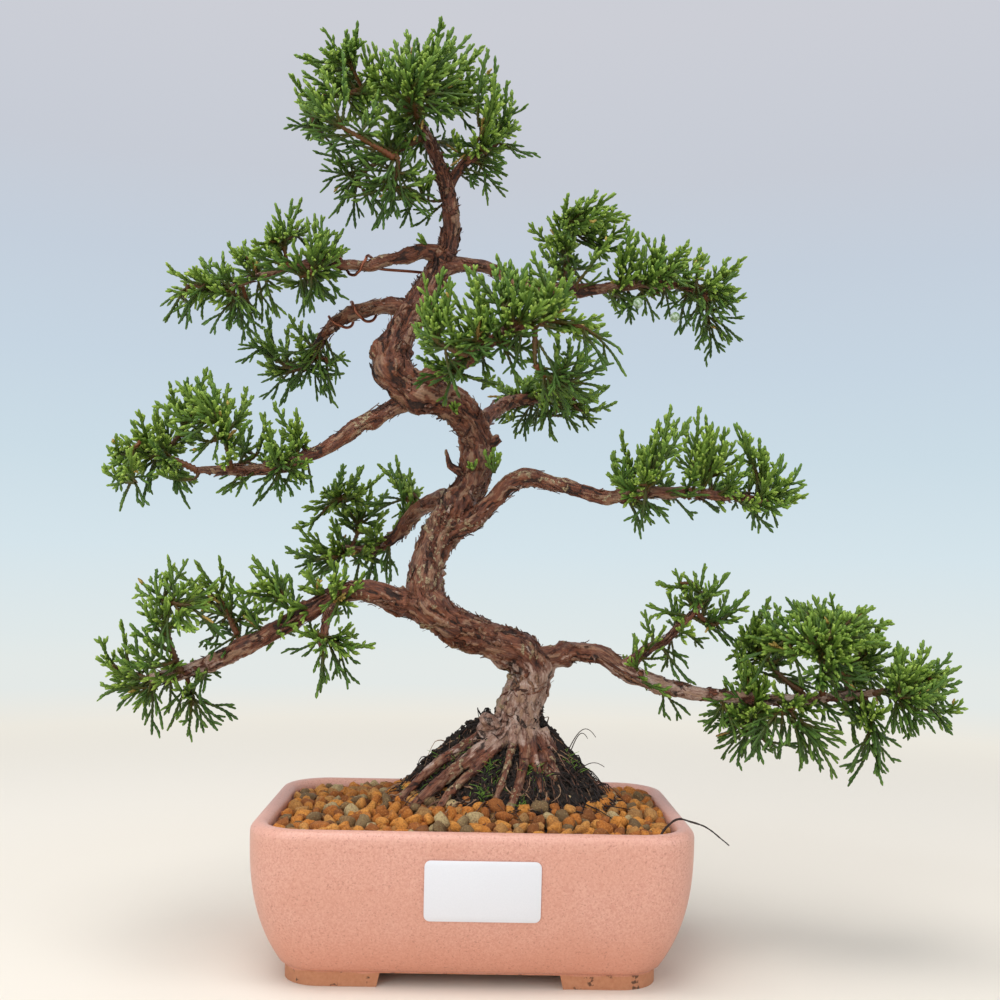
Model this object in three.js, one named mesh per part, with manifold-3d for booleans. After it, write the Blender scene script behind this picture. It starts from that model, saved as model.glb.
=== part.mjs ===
// A small juniper bonsai in a rounded rectangular glazed pot.
// Millimetres, +Z up, X along the pot's length, Y along its depth.
// The tree is laid out from the middle of the pot, with heights above the pot's rim,
// and the finished group is then set down so that its box stands on Z = 0 about the Z axis.

import * as THREE from 'three';
import { mergeVertices } from 'three/addons/utils/BufferGeometryUtils.js';
import Module from 'manifold-3d';

const wasm = await Module();
wasm.setup();

// ---------------------------------------------------------------- driving dimensions

const gap = 0.3; // clearance between solids that touch

const pot = {
  length: 150,
  depth: 106,
  height: 53,
  cornerRadius: 19,
  wall: 5.8,
  floor: 6,
  footHeight: 4.5,
  footInset: 12, // from the pot's outer face at the rim to the foot's outer face
  footWidth: 12,
  footLength: 33,
  belly: 11, // how far the wall curves in on its way to the base
  bellyPower: 2.8,
  lip: 2.9, // half of the rounded rim's thickness
  drainRadius: 7,
  drainSpacing: 76,
  edgeRadius: 1.5, // edge of the base
  floorRounding: 2, // inside, where the wall meets the floor
};

const screen = { thickness: 1, holes: 4, pitch: 5, bar: 1.2 };
const clip = { wire: 0.5, splay: 9, drop: 1.3, shoulder: 1.2, turn: 1.5, flare: 2 };
const grit = { depth: 5.5 };
const soil = {
  belowRim: 4,
  mound: 14,
  centre: [8, 6],
  spread: [44, 30],
  edge: 2, // below the surface, where the sides end
  rowInsets: [9, 18, 27, 36], // rows of the surface, in from the wall
};
const rootBall = {
  centre: [14, 6],
  radius: 34,
  neck: 14,
  top: 17, // above the rim
  fromWall: 2,
  profile: [[0.7, -36], [1, -24], [1, -10], [0.82, 2], [0.62, 9]], // [share of the radius, height]
};
const label = { width: 38, height: 20, corner: 2, centre: 3.5, belowRim: 18.5, thickness: 0.5 };
const wire = { radius: 0.55, turns: 1.5, clearance: 0.6 };
const strandRadius = 0.4;
const berryRadius = 1.9;
const moss = { centre: [5, -14, 9], size: [5, 4, 4] };

// Routes: [x, y, height above the rim, radius].
const trunkRoute = [
  [14, 6, -7, 12], [14, 6, 9, 10.5], [16, 4, 33, 8.5], [20, 3, 45, 7.8], [17, 1, 55, 7],
  [5, 0, 60, 6.5], [-10, -3, 66, 6.6], [-19, -3, 75, 6.6], [-18, -1, 89, 6.4],
  [-11, 2, 104, 6.7], [-3, 5, 119, 6], [-2, 3, 134, 5.8], [-10, -2, 146, 6.4],
  [-25, -6, 151, 6.6], [-33, -5, 160, 6.5], [-30, -1, 174, 5.8], [-20, 4, 193, 4.9],
  [-14, 6, 208, 3.8], [-14, 2, 224, 3], [-20, -1, 241, 2.2], [-27, -2, 255, 1.4],
];

// Surface roots, which are one piece with the trunk.
const rootRoutes = [
  [[10, 4, 30, 5], [-4, -5, 22, 4.2], [-15, -11, 13, 3.4], [-27, -16, -3, 2.4]],
  [[16, 0, 28, 4.5], [17, -8, 17, 3.6], [14, -14, 7, 3], [10, -19, -4, 2.2]],
  [[20, 2, 28, 5], [27, -4, 18, 4.6], [29, -8, 7, 4], [33, -11, -4, 3]],
  [[20, 6, 26, 5], [31, 5, 12, 4], [41, 3, -4, 2.8]],
  [[18, 10, 24, 5], [28, 18, 10, 4], [36, 25, -4, 2.8]],
  [[12, 10, 26, 5], [6, 20, 12, 4.2], [0, 28, -4, 3]],
  [[10, 8, 24, 5], [-6, 12, 12, 4], [-20, 15, -4, 2.8]],
];

// Short dead stubs left by old cuts, one piece with the trunk.
const stubRoutes = [
  [[-4, 4, 122, 2.6], [-14, 1, 127, 1.6], [-18, 0, 132, 0.8]],
  [[-2, 4, 128, 2.4], [7, 2, 134, 1.5]],
  [[9, 2, 27, 3.4], [3, -4, 32, 2.2]],
];

const branchRoutes = {
  branch_lower_right: [
    [18, 2, 51, 5], [28, 1, 54, 4.3], [38, -1, 56, 4], [46, -4, 55, 3.9], [56, -7, 49, 3.5],
    [72, -10, 44, 3.2], [92, -12, 42, 2.4], [115, -12, 41, 2], [144, -12, 44, 1.3],
  ],
  branch_lower_right_riser: [[54, -6, 51, 2.4], [63, -5, 58, 2], [71, -5, 63, 1.7], [84, -6, 77, 1.1]],
  branch_mid_right: [
    [-13, 0, 99, 4.5], [-3, -4, 103, 4.2], [6, -7, 112, 3.7], [16, -10, 119, 3.6],
    [28, -12, 117, 3.1], [45, -12, 113, 2.5], [67, -12, 115, 2.4], [107, -12, 113, 1.5],
  ],
  branch_upper_right: [
    [-17, 5, 199, 3.6], [-8, 6, 201, 2.9], [2, 9, 200, 2.7], [16, 11, 195, 2.5],
    [40, 12, 194, 2.3], [66, 12, 197, 1.8], [86, 13, 194, 1.1],
  ],
  branch_lower_left: [
    [-14, -3, 69, 5], [-25, -6, 72, 5], [-33, -9, 75, 5], [-42, -10, 77, 4.2], [-52, -10, 75, 3.9],
    [-68, -10, 65, 3.5], [-90, -10, 53, 3.1], [-106, -10, 46, 2.7], [-117, -10, 44, 2.2],
  ],
  branch_lower_left_spur: [[-51, -10, 75, 2.2], [-54, -14, 66, 1.6], [-55, -15, 55, 1.1]],
  branch_mid_left: [
    [-24, -5, 150, 4.5], [-32, -5, 145, 3.6], [-45, -7, 137, 3], [-60, -8, 127, 2.7],
    [-76, -10, 121, 2.4], [-102, -10, 119, 1.4],
  ],
  branch_back_left: [
    [-8, 4, 110, 4.2], [-14, 14, 112, 3.8], [-24, 26, 108, 3.5], [-33, 35, 98, 2.8],
    [-45, 40, 92, 2], [-56, 43, 93, 1.5],
  ],
  branch_upper_left: [
    [-16, 6, 204, 3.4], [-24, 3, 205, 3], [-33, -1, 201, 2.3], [-46, -4, 197, 2.1],
    [-64, -6, 197, 1.8], [-84, -6, 191, 1.3], [-98, -6, 186, 1],
  ],
  branch_second_left: [
    [-26, 2, 181, 3.4], [-33, 2, 184, 3.3], [-44, 7, 183, 3.1], [-54, 11, 180, 2.7],
    [-62, 17, 173, 2.2], [-69, 22, 162, 1.5],
  ],
  branch_front: [
    [-25, -6, 153, 4], [-15, -15, 156, 3.2], [-4, -28, 160, 2.7], [4, -44, 164, 2.2], [14, -54, 168, 1.5],
  ],
  branch_back: [[-3, 3, 137, 4], [3, 16, 145, 3.1], [14, 32, 153, 2.5], [38, 48, 157, 1.6]],
  branch_apex_right: [[-15, 3, 229, 2.2], [-8, 1, 239, 1.7], [4, 0, 247, 1.2]],
};

// Foliage pads: lobes of [x, y, height above the rim, half length, half depth, half height].
const padLobes = {
  foliage_lower_right: [
    [122, -12, 59, 31, 28, 18], [152, -12, 45, 22, 24, 16],
    [107, -10, 33, 25, 22, 14], [128, -14, 27, 22, 16, 12],
  ],
  foliage_lower_right_riser: [[80, -8, 73, 19, 20, 17], [68, -6, 60, 14, 16, 14], [70, -8, 38, 9, 11, 12]],
  foliage_mid_right: [[80, -12, 127, 18, 22, 18], [58, -12, 119, 14, 18, 16], [103, -12, 117, 15, 16, 13]],
  foliage_upper_right: [[41, 16, 212, 20, 24, 19], [64, 14, 199, 21, 22, 16], [87, 14, 192, 14, 18, 19]],
  foliage_lower_left: [
    [-102, -10, 69, 22, 24, 18], [-119, -10, 49, 17, 18, 18],
    [-82, -10, 73, 18, 20, 13], [-102, -10, 37, 14, 14, 14],
  ],
  foliage_lower_left_spur: [[-54, -14, 77, 17, 16, 10], [-54, -14, 57, 16, 16, 14]],
  foliage_mid_left: [[-100, -10, 136, 22, 24, 18], [-120, -10, 121, 17, 20, 17], [-79, -10, 125, 19, 20, 18]],
  foliage_back_left: [[-44, 44, 113, 21, 18, 15], [-53, 38, 93, 22, 18, 17]],
  foliage_upper_left: [[-69, -6, 198, 20, 24, 19], [-90, -6, 186, 20, 20, 15], [-110, -6, 182, 12, 12, 9]],
  foliage_second_left: [[-71, 22, 165, 19, 16, 15], [-80, 18, 171, 12, 12, 10]],
  foliage_front: [
    [-8, -46, 170, 16, 16, 16], [12, -50, 173, 18, 18, 17],
    [26, -46, 158, 21, 18, 16], [-8, -38, 157, 14, 14, 12],
  ],
  foliage_back: [[28, 44, 154, 25, 20, 14]],
  foliage_apex_left: [[-54, -4, 258, 19, 30, 23], [-40, -6, 228, 20, 22, 13]],
  foliage_apex_right: [[-20, -2, 263, 27, 32, 21], [-3, 0, 243, 16, 20, 14]],
};

const berryPlaces = { berry_left: [58, 2, 187], berry_right: [72, 2, 182] };

// A loose root that has grown out over the rim, near the front right corner:
// [distance in from the right face, distance in from the front face, height above the rim].
const strandRoute = [[13, 14, 0.5], [8, 11, 3.5], [0, 8, 1.8], [-9, 5, -3]];

// ---------------------------------------------------------------- materials

function finish(color, roughness, metalness = 0) {
  return new THREE.MeshStandardMaterial({ color, roughness, metalness });
}

const glaze = finish('#e0a08c', 0.45);
const bark = finish('#6f4a38', 0.85);
const leaf = finish('#5c7c38', 0.7);
const granules = finish('#a9713f', 0.95);
const pumice = finish('#b8ab98', 0.95);
const peat = finish('#2a211b', 1);
const plastic = finish('#2c2c2c', 0.6);
const aluminium = finish('#b4b6b8', 0.35, 1);
const anodised = finish('#7a4a3a', 0.4, 1);
const paper = finish('#f3f3f1', 0.6);
const mossGreen = finish('#53702a', 0.95);
const berryGreen = finish('#9db58f', 0.6);

// ---------------------------------------------------------------- solids

// A closed geometry from rows of points, each row joined to the next and both ends closed by a fan.
function loftedGeometry(rows, startPoint, endPoint) {
  const count = rows[0].length;
  const points = [startPoint, ...rows.flat(), endPoint];
  const at = (row, i) => 1 + row * count + (i % count);
  const faces = [];
  for (let i = 0; i < count; i++) {
    faces.push(0, at(0, i + 1), at(0, i));
    for (let row = 0; row < rows.length - 1; row++) {
      faces.push(at(row, i), at(row, i + 1), at(row + 1, i + 1));
      faces.push(at(row, i), at(row + 1, i + 1), at(row + 1, i));
    }
    faces.push(at(rows.length - 1, i), at(rows.length - 1, i + 1), points.length - 1);
  }
  const geometry = new THREE.BufferGeometry();
  geometry.setAttribute('position', new THREE.Float32BufferAttribute(points.flatMap((p) => [...p]), 3));
  geometry.setIndex(faces);
  return geometry;
}

function solidOf(source) {
  const geometry = source.clone();
  geometry.deleteAttribute('normal');
  geometry.deleteAttribute('uv');
  const merged = mergeVertices(geometry, 1e-4);
  return new wasm.Manifold(new wasm.Mesh({
    numProp: 3,
    vertProperties: new Float32Array(merged.attributes.position.array),
    triVerts: new Uint32Array(merged.index.array),
  }));
}

function geometryOf(solid) {
  const mesh = solid.getMesh();
  const geometry = new THREE.BufferGeometry();
  geometry.setAttribute('position', new THREE.BufferAttribute(new Float32Array(mesh.vertProperties), 3));
  geometry.setIndex(new THREE.BufferAttribute(new Uint32Array(mesh.triVerts), 1));
  geometry.computeVertexNormals();
  return geometry;
}

const joined = (solids) => solids.reduce((sum, next) => sum.add(next));
const carved = (solid, cutters) => cutters.reduce((rest, cutter) => rest.subtract(cutter), solid);

// A cut can leave crumbs behind it: only the main body is kept.
function mainBody(solid) {
  return solid.decompose().reduce((best, next) => (next.volume() > best.volume() ? next : best));
}

// A tapering limb along a smooth route of [x, y, height above the rim, radius].
function limb(route, { sides = 6, stepsPerSpan = 2, grow = 0 } = {}) {
  const curve = new THREE.CatmullRomCurve3(
    route.map(([x, y, z]) => new THREE.Vector3(x, y, z + pot.height)), false, 'centripetal');
  const steps = (route.length - 1) * stepsPerSpan;
  const radiusAt = (t) => {
    const span = Math.min(Math.floor(t * (route.length - 1)), route.length - 2);
    return THREE.MathUtils.lerp(route[span][3], route[span + 1][3], t * (route.length - 1) - span) + grow;
  };
  const side = new THREE.Vector3();
  const rows = [];
  for (let step = 0; step <= steps; step++) {
    const t = step / steps;
    const centre = curve.getPoint(t);
    const along = curve.getTangent(t);
    if (step === 0) side.set(0, 1, 0);
    side.addScaledVector(along, -side.dot(along)).normalize();
    const up = new THREE.Vector3().crossVectors(along, side);
    rows.push(Array.from({ length: sides }, (_, i) => {
      const angle = (2 * Math.PI * i) / sides;
      return centre.clone()
        .addScaledVector(side, radiusAt(t) * Math.cos(angle))
        .addScaledVector(up, radiusAt(t) * Math.sin(angle));
    }));
  }
  const start = curve.getPoint(0).addScaledVector(curve.getTangent(0), -grow);
  const end = curve.getPoint(1).addScaledVector(curve.getTangent(1), grow);
  return solidOf(loftedGeometry(rows, start, end));
}

function ellipsoid([x, y, z], [rx, ry, rz], grow = 0) {
  const ball = new THREE.IcosahedronGeometry(1, 1);
  ball.scale(rx + grow, ry + grow, rz + grow);
  ball.translate(x, y, z + pot.height);
  return solidOf(ball);
}

function block(width, depth, height, x, y, z) {
  const box = new THREE.BoxGeometry(width, depth, height);
  box.translate(x, y, z);
  return solidOf(box);
}

function cylinder(radius, height, x, y, z) {
  const rod = new THREE.CylinderGeometry(radius, radius, height, 24);
  rod.rotateX(Math.PI / 2);
  rod.translate(x, y, z);
  return solidOf(rod);
}

function roundWire(points, radius) {
  const section = new THREE.Shape().absarc(0, 0, radius, 0, 2 * Math.PI);
  const path = new THREE.CatmullRomCurve3(points.map((p) => new THREE.Vector3(...p)), false, 'centripetal');
  const settings = { steps: points.length * 2, curveSegments: 3, extrudePath: path };
  return solidOf(new THREE.ExtrudeGeometry(section, settings));
}

// ---------------------------------------------------------------- the pot

const cornerSegments = 5;
const potFloor = pot.footHeight + pot.floor;

// One level of the pot: a rounded rectangle set in from the rim's outline, counter-clockwise.
function potOutline(inset, heightAt) {
  const radius = Math.max(pot.cornerRadius - inset, 1.5);
  const centreX = pot.length / 2 - inset - radius;
  const centreY = pot.depth / 2 - inset - radius;
  const corners = [[1, 1, 0], [-1, 1, 1], [-1, -1, 2], [1, -1, 3]];
  return corners.flatMap(([signX, signY, quarter]) =>
    Array.from({ length: cornerSegments + 1 }, (_, i) => {
      const angle = (quarter + i / cornerSegments) * (Math.PI / 2);
      const x = signX * centreX + radius * Math.cos(angle);
      const y = signY * centreY + radius * Math.sin(angle);
      return new THREE.Vector3(x, y, heightAt(x, y));
    }));
}

// How far the outer wall stands in from the rim's outline at a given height.
function wallInset(z) {
  const rise = THREE.MathUtils.clamp((z - pot.footHeight) / (pot.height - pot.footHeight), 0, 1);
  return pot.belly * (1 - rise) ** pot.bellyPower;
}

const level = (inset, z) => potOutline(inset, () => z);

// What fills the pot stands clear of its wall, and of the rounding where the wall meets the floor.
const innerRounding = pot.cornerRadius / 3;
const fillInset = (z) => wallInset(z) + pot.wall + gap + (z < potFloor + innerRounding ? 1 : 0);

// Evenly spaced heights, ends included.
function heights(from, to, count) {
  return Array.from({ length: count }, (_, i) => from + ((to - from) * i) / (count - 1));
}

// The outer skin of the pot as a full block, moved outwards by an offset.
function potBlock(offset) {
  const rows = heights(pot.footHeight + pot.edgeRadius, pot.height - pot.lip, 9)
    .map((z) => level(wallInset(z) - offset, z));
  return solidOf(loftedGeometry(
    [level(pot.belly + pot.edgeRadius, pot.footHeight), ...rows, level(pot.lip, pot.height)],
    [0, 0, pot.footHeight], [0, 0, pot.height]));
}

function potShell() {
  const outer = heights(pot.footHeight + pot.edgeRadius, pot.height - pot.lip, 9)
    .map((z) => level(wallInset(z), z));
  const lipArc = [0.25, 0.5, 0.75].map((turn) => {
    const angle = Math.PI * turn;
    return level(pot.lip - pot.lip * Math.cos(angle), pot.height - pot.lip + pot.lip * Math.sin(angle));
  });
  const inner = heights(pot.height - pot.lip, potFloor + innerRounding, 6)
    .map((z) => level(wallInset(z) + pot.wall, z));
  return solidOf(loftedGeometry(
    [
      level(pot.belly + pot.edgeRadius, pot.footHeight),
      ...outer,
      ...lipArc,
      ...inner,
      level(pot.belly + pot.wall + pot.floorRounding, potFloor),
    ],
    [0, 0, pot.footHeight], [0, 0, potFloor]));
}

// Four corner feet: a band under the base with its middle stretches cut away.
function potFeet() {
  const overlap = 1;
  const band = (inset) => solidOf(loftedGeometry(
    [level(inset, 0), level(inset, pot.footHeight + overlap)], [0, 0, 0], [0, 0, pot.footHeight + overlap]));
  const ring = band(pot.footInset).subtract(band(pot.footInset + pot.footWidth));
  const between = (size) => size - 2 * (pot.footInset + pot.footLength);
  const tall = 4 * pot.footHeight;
  return ring
    .subtract(block(between(pot.length), pot.depth, tall, 0, 0, 0))
    .subtract(block(pot.length, Math.max(between(pot.depth), pot.footWidth), tall, 0, 0, 0));
}

const drainPlaces = [-pot.drainSpacing / 2, pot.drainSpacing / 2];

function potBody() {
  const holes = drainPlaces.map((x) => cylinder(pot.drainRadius, 4 * pot.floor, x, 0, potFloor));
  return carved(potShell().add(potFeet()), holes);
}

// A square of plastic netting with rows of square holes.
function drainScreen(x) {
  const width = screen.holes * screen.pitch + screen.bar;
  const z = potFloor + gap + screen.thickness / 2;
  const open = screen.pitch - screen.bar;
  const offsets = Array.from({ length: screen.holes }, (_, i) => (i - (screen.holes - 1) / 2) * screen.pitch);
  return carved(block(width, width, screen.thickness, x, 0, z), offsets.flatMap((dx) =>
    offsets.map((y) => block(open, open, 3 * screen.thickness, x + dx, y, z))));
}

// A staple of soft wire, through two openings of the screen, holds it down through the drain hole.
function screenClip(x) {
  const leg = screen.pitch / 2;
  const y = screen.pitch / 2;
  const top = potFloor + gap + screen.thickness + gap + clip.wire;
  const low = pot.footHeight - clip.drop;
  const half = [
    [leg - clip.shoulder, top],
    [leg, top - clip.shoulder],
    [leg, low + clip.turn],
    [leg + clip.flare, low],
    [leg + clip.splay, low],
  ];
  return roundWire([
    ...half.toReversed().map(([reach, z]) => [x - reach, y, z]),
    ...half.map(([reach, z]) => [x + reach, y, z]),
  ], clip.wire);
}

// ---------------------------------------------------------------- what fills the pot

const gritTop = potFloor + grit.depth;

function drainageGrit() {
  const bottom = level(pot.belly + pot.wall + pot.floorRounding + gap, potFloor + gap);
  const slab = solidOf(loftedGeometry(
    [bottom, level(fillInset(gritTop), gritTop)], [0, 0, potFloor + gap], [0, 0, gritTop]));
  const clearance = screen.holes * screen.pitch + screen.bar + 2 * gap;
  const pocket = screen.thickness + 2 * clip.wire + 4 * gap;
  return carved(slab, drainPlaces.map((x) => block(clearance, clearance, 2 * pocket, x, 0, potFloor)));
}

function soilHeight(x, y) {
  const dx = (x - soil.centre[0]) / soil.spread[0];
  const dy = (y - soil.centre[1]) / soil.spread[1];
  return pot.height - soil.belowRim + soil.mound * Math.exp(-(dx * dx + dy * dy));
}

function soilBody() {
  const bottom = gritTop + gap;
  const sides = heights(bottom, pot.height - soil.belowRim - soil.edge, 5).map((z) => level(fillInset(z), z));
  const surface = [gap, ...soil.rowInsets]
    .map((further) => potOutline(fillInset(pot.height) + further, soilHeight));
  return solidOf(loftedGeometry([...sides, ...surface], [0, 0, bottom], [0, 0, soilHeight(0, 0)]));
}

// The space inside the pot down to the grit, set in by a margin, and carried on above the rim.
function potSpace(margin) {
  const headroom = 60;
  const bottom = gritTop + gap + margin;
  const rows = heights(bottom, pot.height, 5).map((z) => level(fillInset(z) + margin, z));
  const top = pot.height + headroom;
  return solidOf(loftedGeometry(
    [...rows, level(fillInset(pot.height) + margin, top)], [0, 0, bottom], [0, 0, top]));
}

// The tree's old root ball: dark soil bound by fine roots, standing a little proud of the new soil.
function rootBallBody(grow) {
  const { radius, neck, profile } = rootBall;
  const bottom = profile[0][1] - grow;
  const top = rootBall.top + grow;
  const side = profile.map(([share, z], i) => [radius * share + grow, i === 0 ? bottom : z]);
  const outline = [[0, bottom], ...side, [neck + grow, top], [0, top]];
  const turned = new THREE.LatheGeometry(outline.map((p) => new THREE.Vector2(...p)), 14);
  turned.rotateX(Math.PI / 2);
  turned.translate(rootBall.centre[0], rootBall.centre[1], pot.height);
  return solidOf(turned).intersect(potSpace(rootBall.fromWall - grow));
}

// ---------------------------------------------------------------- the wire and the small things

// Points that wind round a limb from one share of its route to another, from an angle about it.
function windings(route, from, to, startAngle, turns) {
  const curve = new THREE.CatmullRomCurve3(
    route.map(([x, y, z]) => new THREE.Vector3(x, y, z + pot.height)), false, 'centripetal');
  const count = Math.ceil(turns * 5);
  return Array.from({ length: count + 1 }, (_, i) => {
    const t = THREE.MathUtils.lerp(from, to, i / count);
    const span = Math.min(Math.floor(t * (route.length - 1)), route.length - 2);
    const radius = THREE.MathUtils.lerp(route[span][3], route[span + 1][3], t * (route.length - 1) - span);
    const reach = radius + wire.radius + wire.clearance;
    const along = curve.getTangent(t);
    const across = new THREE.Vector3(-along.y, along.x, 0).normalize();
    const up = new THREE.Vector3().crossVectors(along, across);
    const angle = startAngle + (2 * Math.PI * turns * i) / count;
    return curve.getPoint(t)
      .addScaledVector(across, reach * Math.cos(angle))
      .addScaledVector(up, reach * Math.sin(angle));
  });
}

// The wire runs along one upper branch, behind the trunk, and along the branch below it.
const behindTrunk = [[-19, 12.5, 198], [-20, 12, 191], [-23, 10, 185]];

function wirePoints() {
  const upper = windings(branchRoutes.branch_upper_left, 0.5, 0.29, 0, wire.turns);
  const lower = windings(branchRoutes.branch_second_left, 0.32, 0.56, Math.PI, wire.turns);
  const middle = behindTrunk.map(([x, y, z]) => new THREE.Vector3(x, y, z + pot.height));
  return [...upper, ...middle, ...lower].map((p) => p.toArray());
}

function labelBody() {
  const shape = new THREE.Shape();
  const [w, h, r] = [label.width / 2, label.height / 2, label.corner];
  shape.moveTo(-w + r, -h).lineTo(w - r, -h).absarc(w - r, -h + r, r, -Math.PI / 2, 0);
  shape.lineTo(w, h - r).absarc(w - r, h - r, r, 0, Math.PI / 2);
  shape.lineTo(-w + r, h).absarc(-w + r, h - r, r, Math.PI / 2, Math.PI);
  shape.lineTo(-w, -h + r).absarc(-w + r, -h + r, r, Math.PI, 1.5 * Math.PI);
  const settings = { depth: pot.depth / 2, bevelEnabled: false, curveSegments: 4 };
  const prism = new THREE.ExtrudeGeometry(shape, settings);
  prism.rotateX(Math.PI / 2);
  prism.translate(label.centre, -pot.depth / 4, pot.height - label.belowRim);
  return solidOf(prism).intersect(potBlock(gap + label.thickness)).subtract(potBlock(gap));
}

// ---------------------------------------------------------------- assembly

const tree = new THREE.Group();

function place(name, solid, material) {
  const mesh = new THREE.Mesh(geometryOf(solid), material);
  mesh.name = name;
  tree.add(mesh);
}

const wood = (grow) => joined([
  limb(trunkRoute, { sides: 9, grow }),
  ...[...rootRoutes, ...stubRoutes].map((route) => limb(route, { grow })),
]);
const trunk = wood(0);
const roundTrunk = wood(gap);
const roundBranch = Object.fromEntries(
  Object.entries(branchRoutes).map(([name, route]) => [name, limb(route, { grow: gap })]));
const winding = wirePoints();
const roundTrainingWire = roundWire(winding, wire.radius + gap);

place('pot', potBody(), glaze);
['left', 'right'].forEach((side, i) => {
  place(`drain_screen_${side}`, drainScreen(drainPlaces[i]), plastic);
  place(`screen_clip_${side}`, screenClip(drainPlaces[i]), aluminium);
});
place('drainage_grit', drainageGrit(), pumice);
place('soil', mainBody(carved(soilBody(), [rootBallBody(gap), roundTrunk])), granules);
place('root_ball', mainBody(carved(rootBallBody(0), [roundTrunk])), peat);
place('trunk', trunk, bark);

const parents = {
  branch_lower_right_riser: 'branch_lower_right',
  branch_lower_left_spur: 'branch_lower_left',
};
for (const [name, route] of Object.entries(branchRoutes)) {
  const around = parents[name] ? [roundTrunk, roundBranch[parents[name]]] : [roundTrunk];
  place(name, mainBody(carved(limb(route), around)), bark);
}

const berry = (centre, grow) => ellipsoid(centre, [berryRadius, berryRadius, berryRadius], grow);
const berries = Object.values(berryPlaces).map((centre) => berry(centre, gap));
const around = [roundTrunk, ...Object.values(roundBranch), roundTrainingWire, ...berries];
const roundPads = [];
for (const [name, lobes] of Object.entries(padLobes)) {
  const pad = (grow) => joined(lobes.map(([x, y, z, ...half]) => ellipsoid([x, y, z], half, grow)));
  place(name, mainBody(carved(pad(0), [...around, ...roundPads])), leaf);
  roundPads.push(pad(gap));
}

place('training_wire', roundWire(winding, wire.radius), anodised);
for (const [name, centre] of Object.entries(berryPlaces)) {
  place(name, berry(centre, 0), berryGreen);
}
place('moss_tuft', mainBody(carved(ellipsoid(moss.centre, moss.size),
  [rootBallBody(gap), roundTrunk, soilBody()])), mossGreen);
place('label', labelBody(), paper);
place('stray_root', roundWire(strandRoute.map(([fromRight, fromFront, z]) =>
  [pot.length / 2 - fromRight, fromFront - pot.depth / 2, z + pot.height]), strandRadius), peat);

// The origin is under the middle of the whole object, on the surface that it stands on.
const box = new THREE.Box3().setFromObject(tree);
tree.position.set(-(box.min.x + box.max.x) / 2, -(box.min.y + box.max.y) / 2, -box.min.z);

const bonsai = new THREE.Group();
bonsai.add(tree);

export default bonsai;
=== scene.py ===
"""A small juniper bonsai in a glazed pot, finished round its fixed frame.

Run as a script: it registers its operators and models every piece through them.
Lengths inside the modelling code are millimetres, measured from the middle of the pot, with heights
above the pot's rim; they become metres in the frame when a mesh is made.
"""

import math

import bmesh
import bpy
import numpy as np
from mathutils import Matrix, Vector
from mathutils.bvhtree import BVHTree


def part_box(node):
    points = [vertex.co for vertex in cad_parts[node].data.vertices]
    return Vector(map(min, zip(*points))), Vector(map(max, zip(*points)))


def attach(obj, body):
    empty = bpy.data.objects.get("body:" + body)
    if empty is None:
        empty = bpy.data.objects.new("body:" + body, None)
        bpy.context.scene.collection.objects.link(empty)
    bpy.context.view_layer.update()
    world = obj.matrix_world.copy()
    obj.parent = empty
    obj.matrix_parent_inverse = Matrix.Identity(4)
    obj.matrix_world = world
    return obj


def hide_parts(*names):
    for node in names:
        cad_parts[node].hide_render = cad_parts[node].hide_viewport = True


bl_info = {
    "name": "Juniper Bonsai",
    "version": (1, 0, 0),
    "blender": (4, 5, 0),
    "location": "View3D > Sidebar > Bonsai",
    "description": "Models a juniper bonsai in a glazed pot round a fixed frame",
    "category": "Add Mesh",
}

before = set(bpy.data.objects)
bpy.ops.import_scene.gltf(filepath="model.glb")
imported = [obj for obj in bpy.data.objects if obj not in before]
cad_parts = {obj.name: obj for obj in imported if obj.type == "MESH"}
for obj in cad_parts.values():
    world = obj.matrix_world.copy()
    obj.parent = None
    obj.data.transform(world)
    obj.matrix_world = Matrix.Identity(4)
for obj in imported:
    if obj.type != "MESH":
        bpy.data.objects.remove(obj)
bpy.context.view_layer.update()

# ------------------------------------------------------------------ places and sizes

MM = 0.001

# The pot's box. Places in the tree are measured from the middle of its rim.
POT_LOW, POT_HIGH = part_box("pot")
POT_SIZE = (POT_HIGH - POT_LOW) / MM
RIM_MIDDLE = Vector(((POT_LOW.x + POT_HIGH.x) / 2, (POT_LOW.y + POT_HIGH.y) / 2, POT_HIGH.z))

# How suddenly the pot's wall draws in towards the feet: 1 is a straight cone.
BELLY_POWER = 2.8

# The soil's mound and the old root ball: middles and half widths, in plan.
SOIL_CENTRE = (8.0, 6.0)
SOIL_SPREAD = (44.0, 30.0)
ROOT_BALL_CENTRE = (14.0, 6.0)

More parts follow.
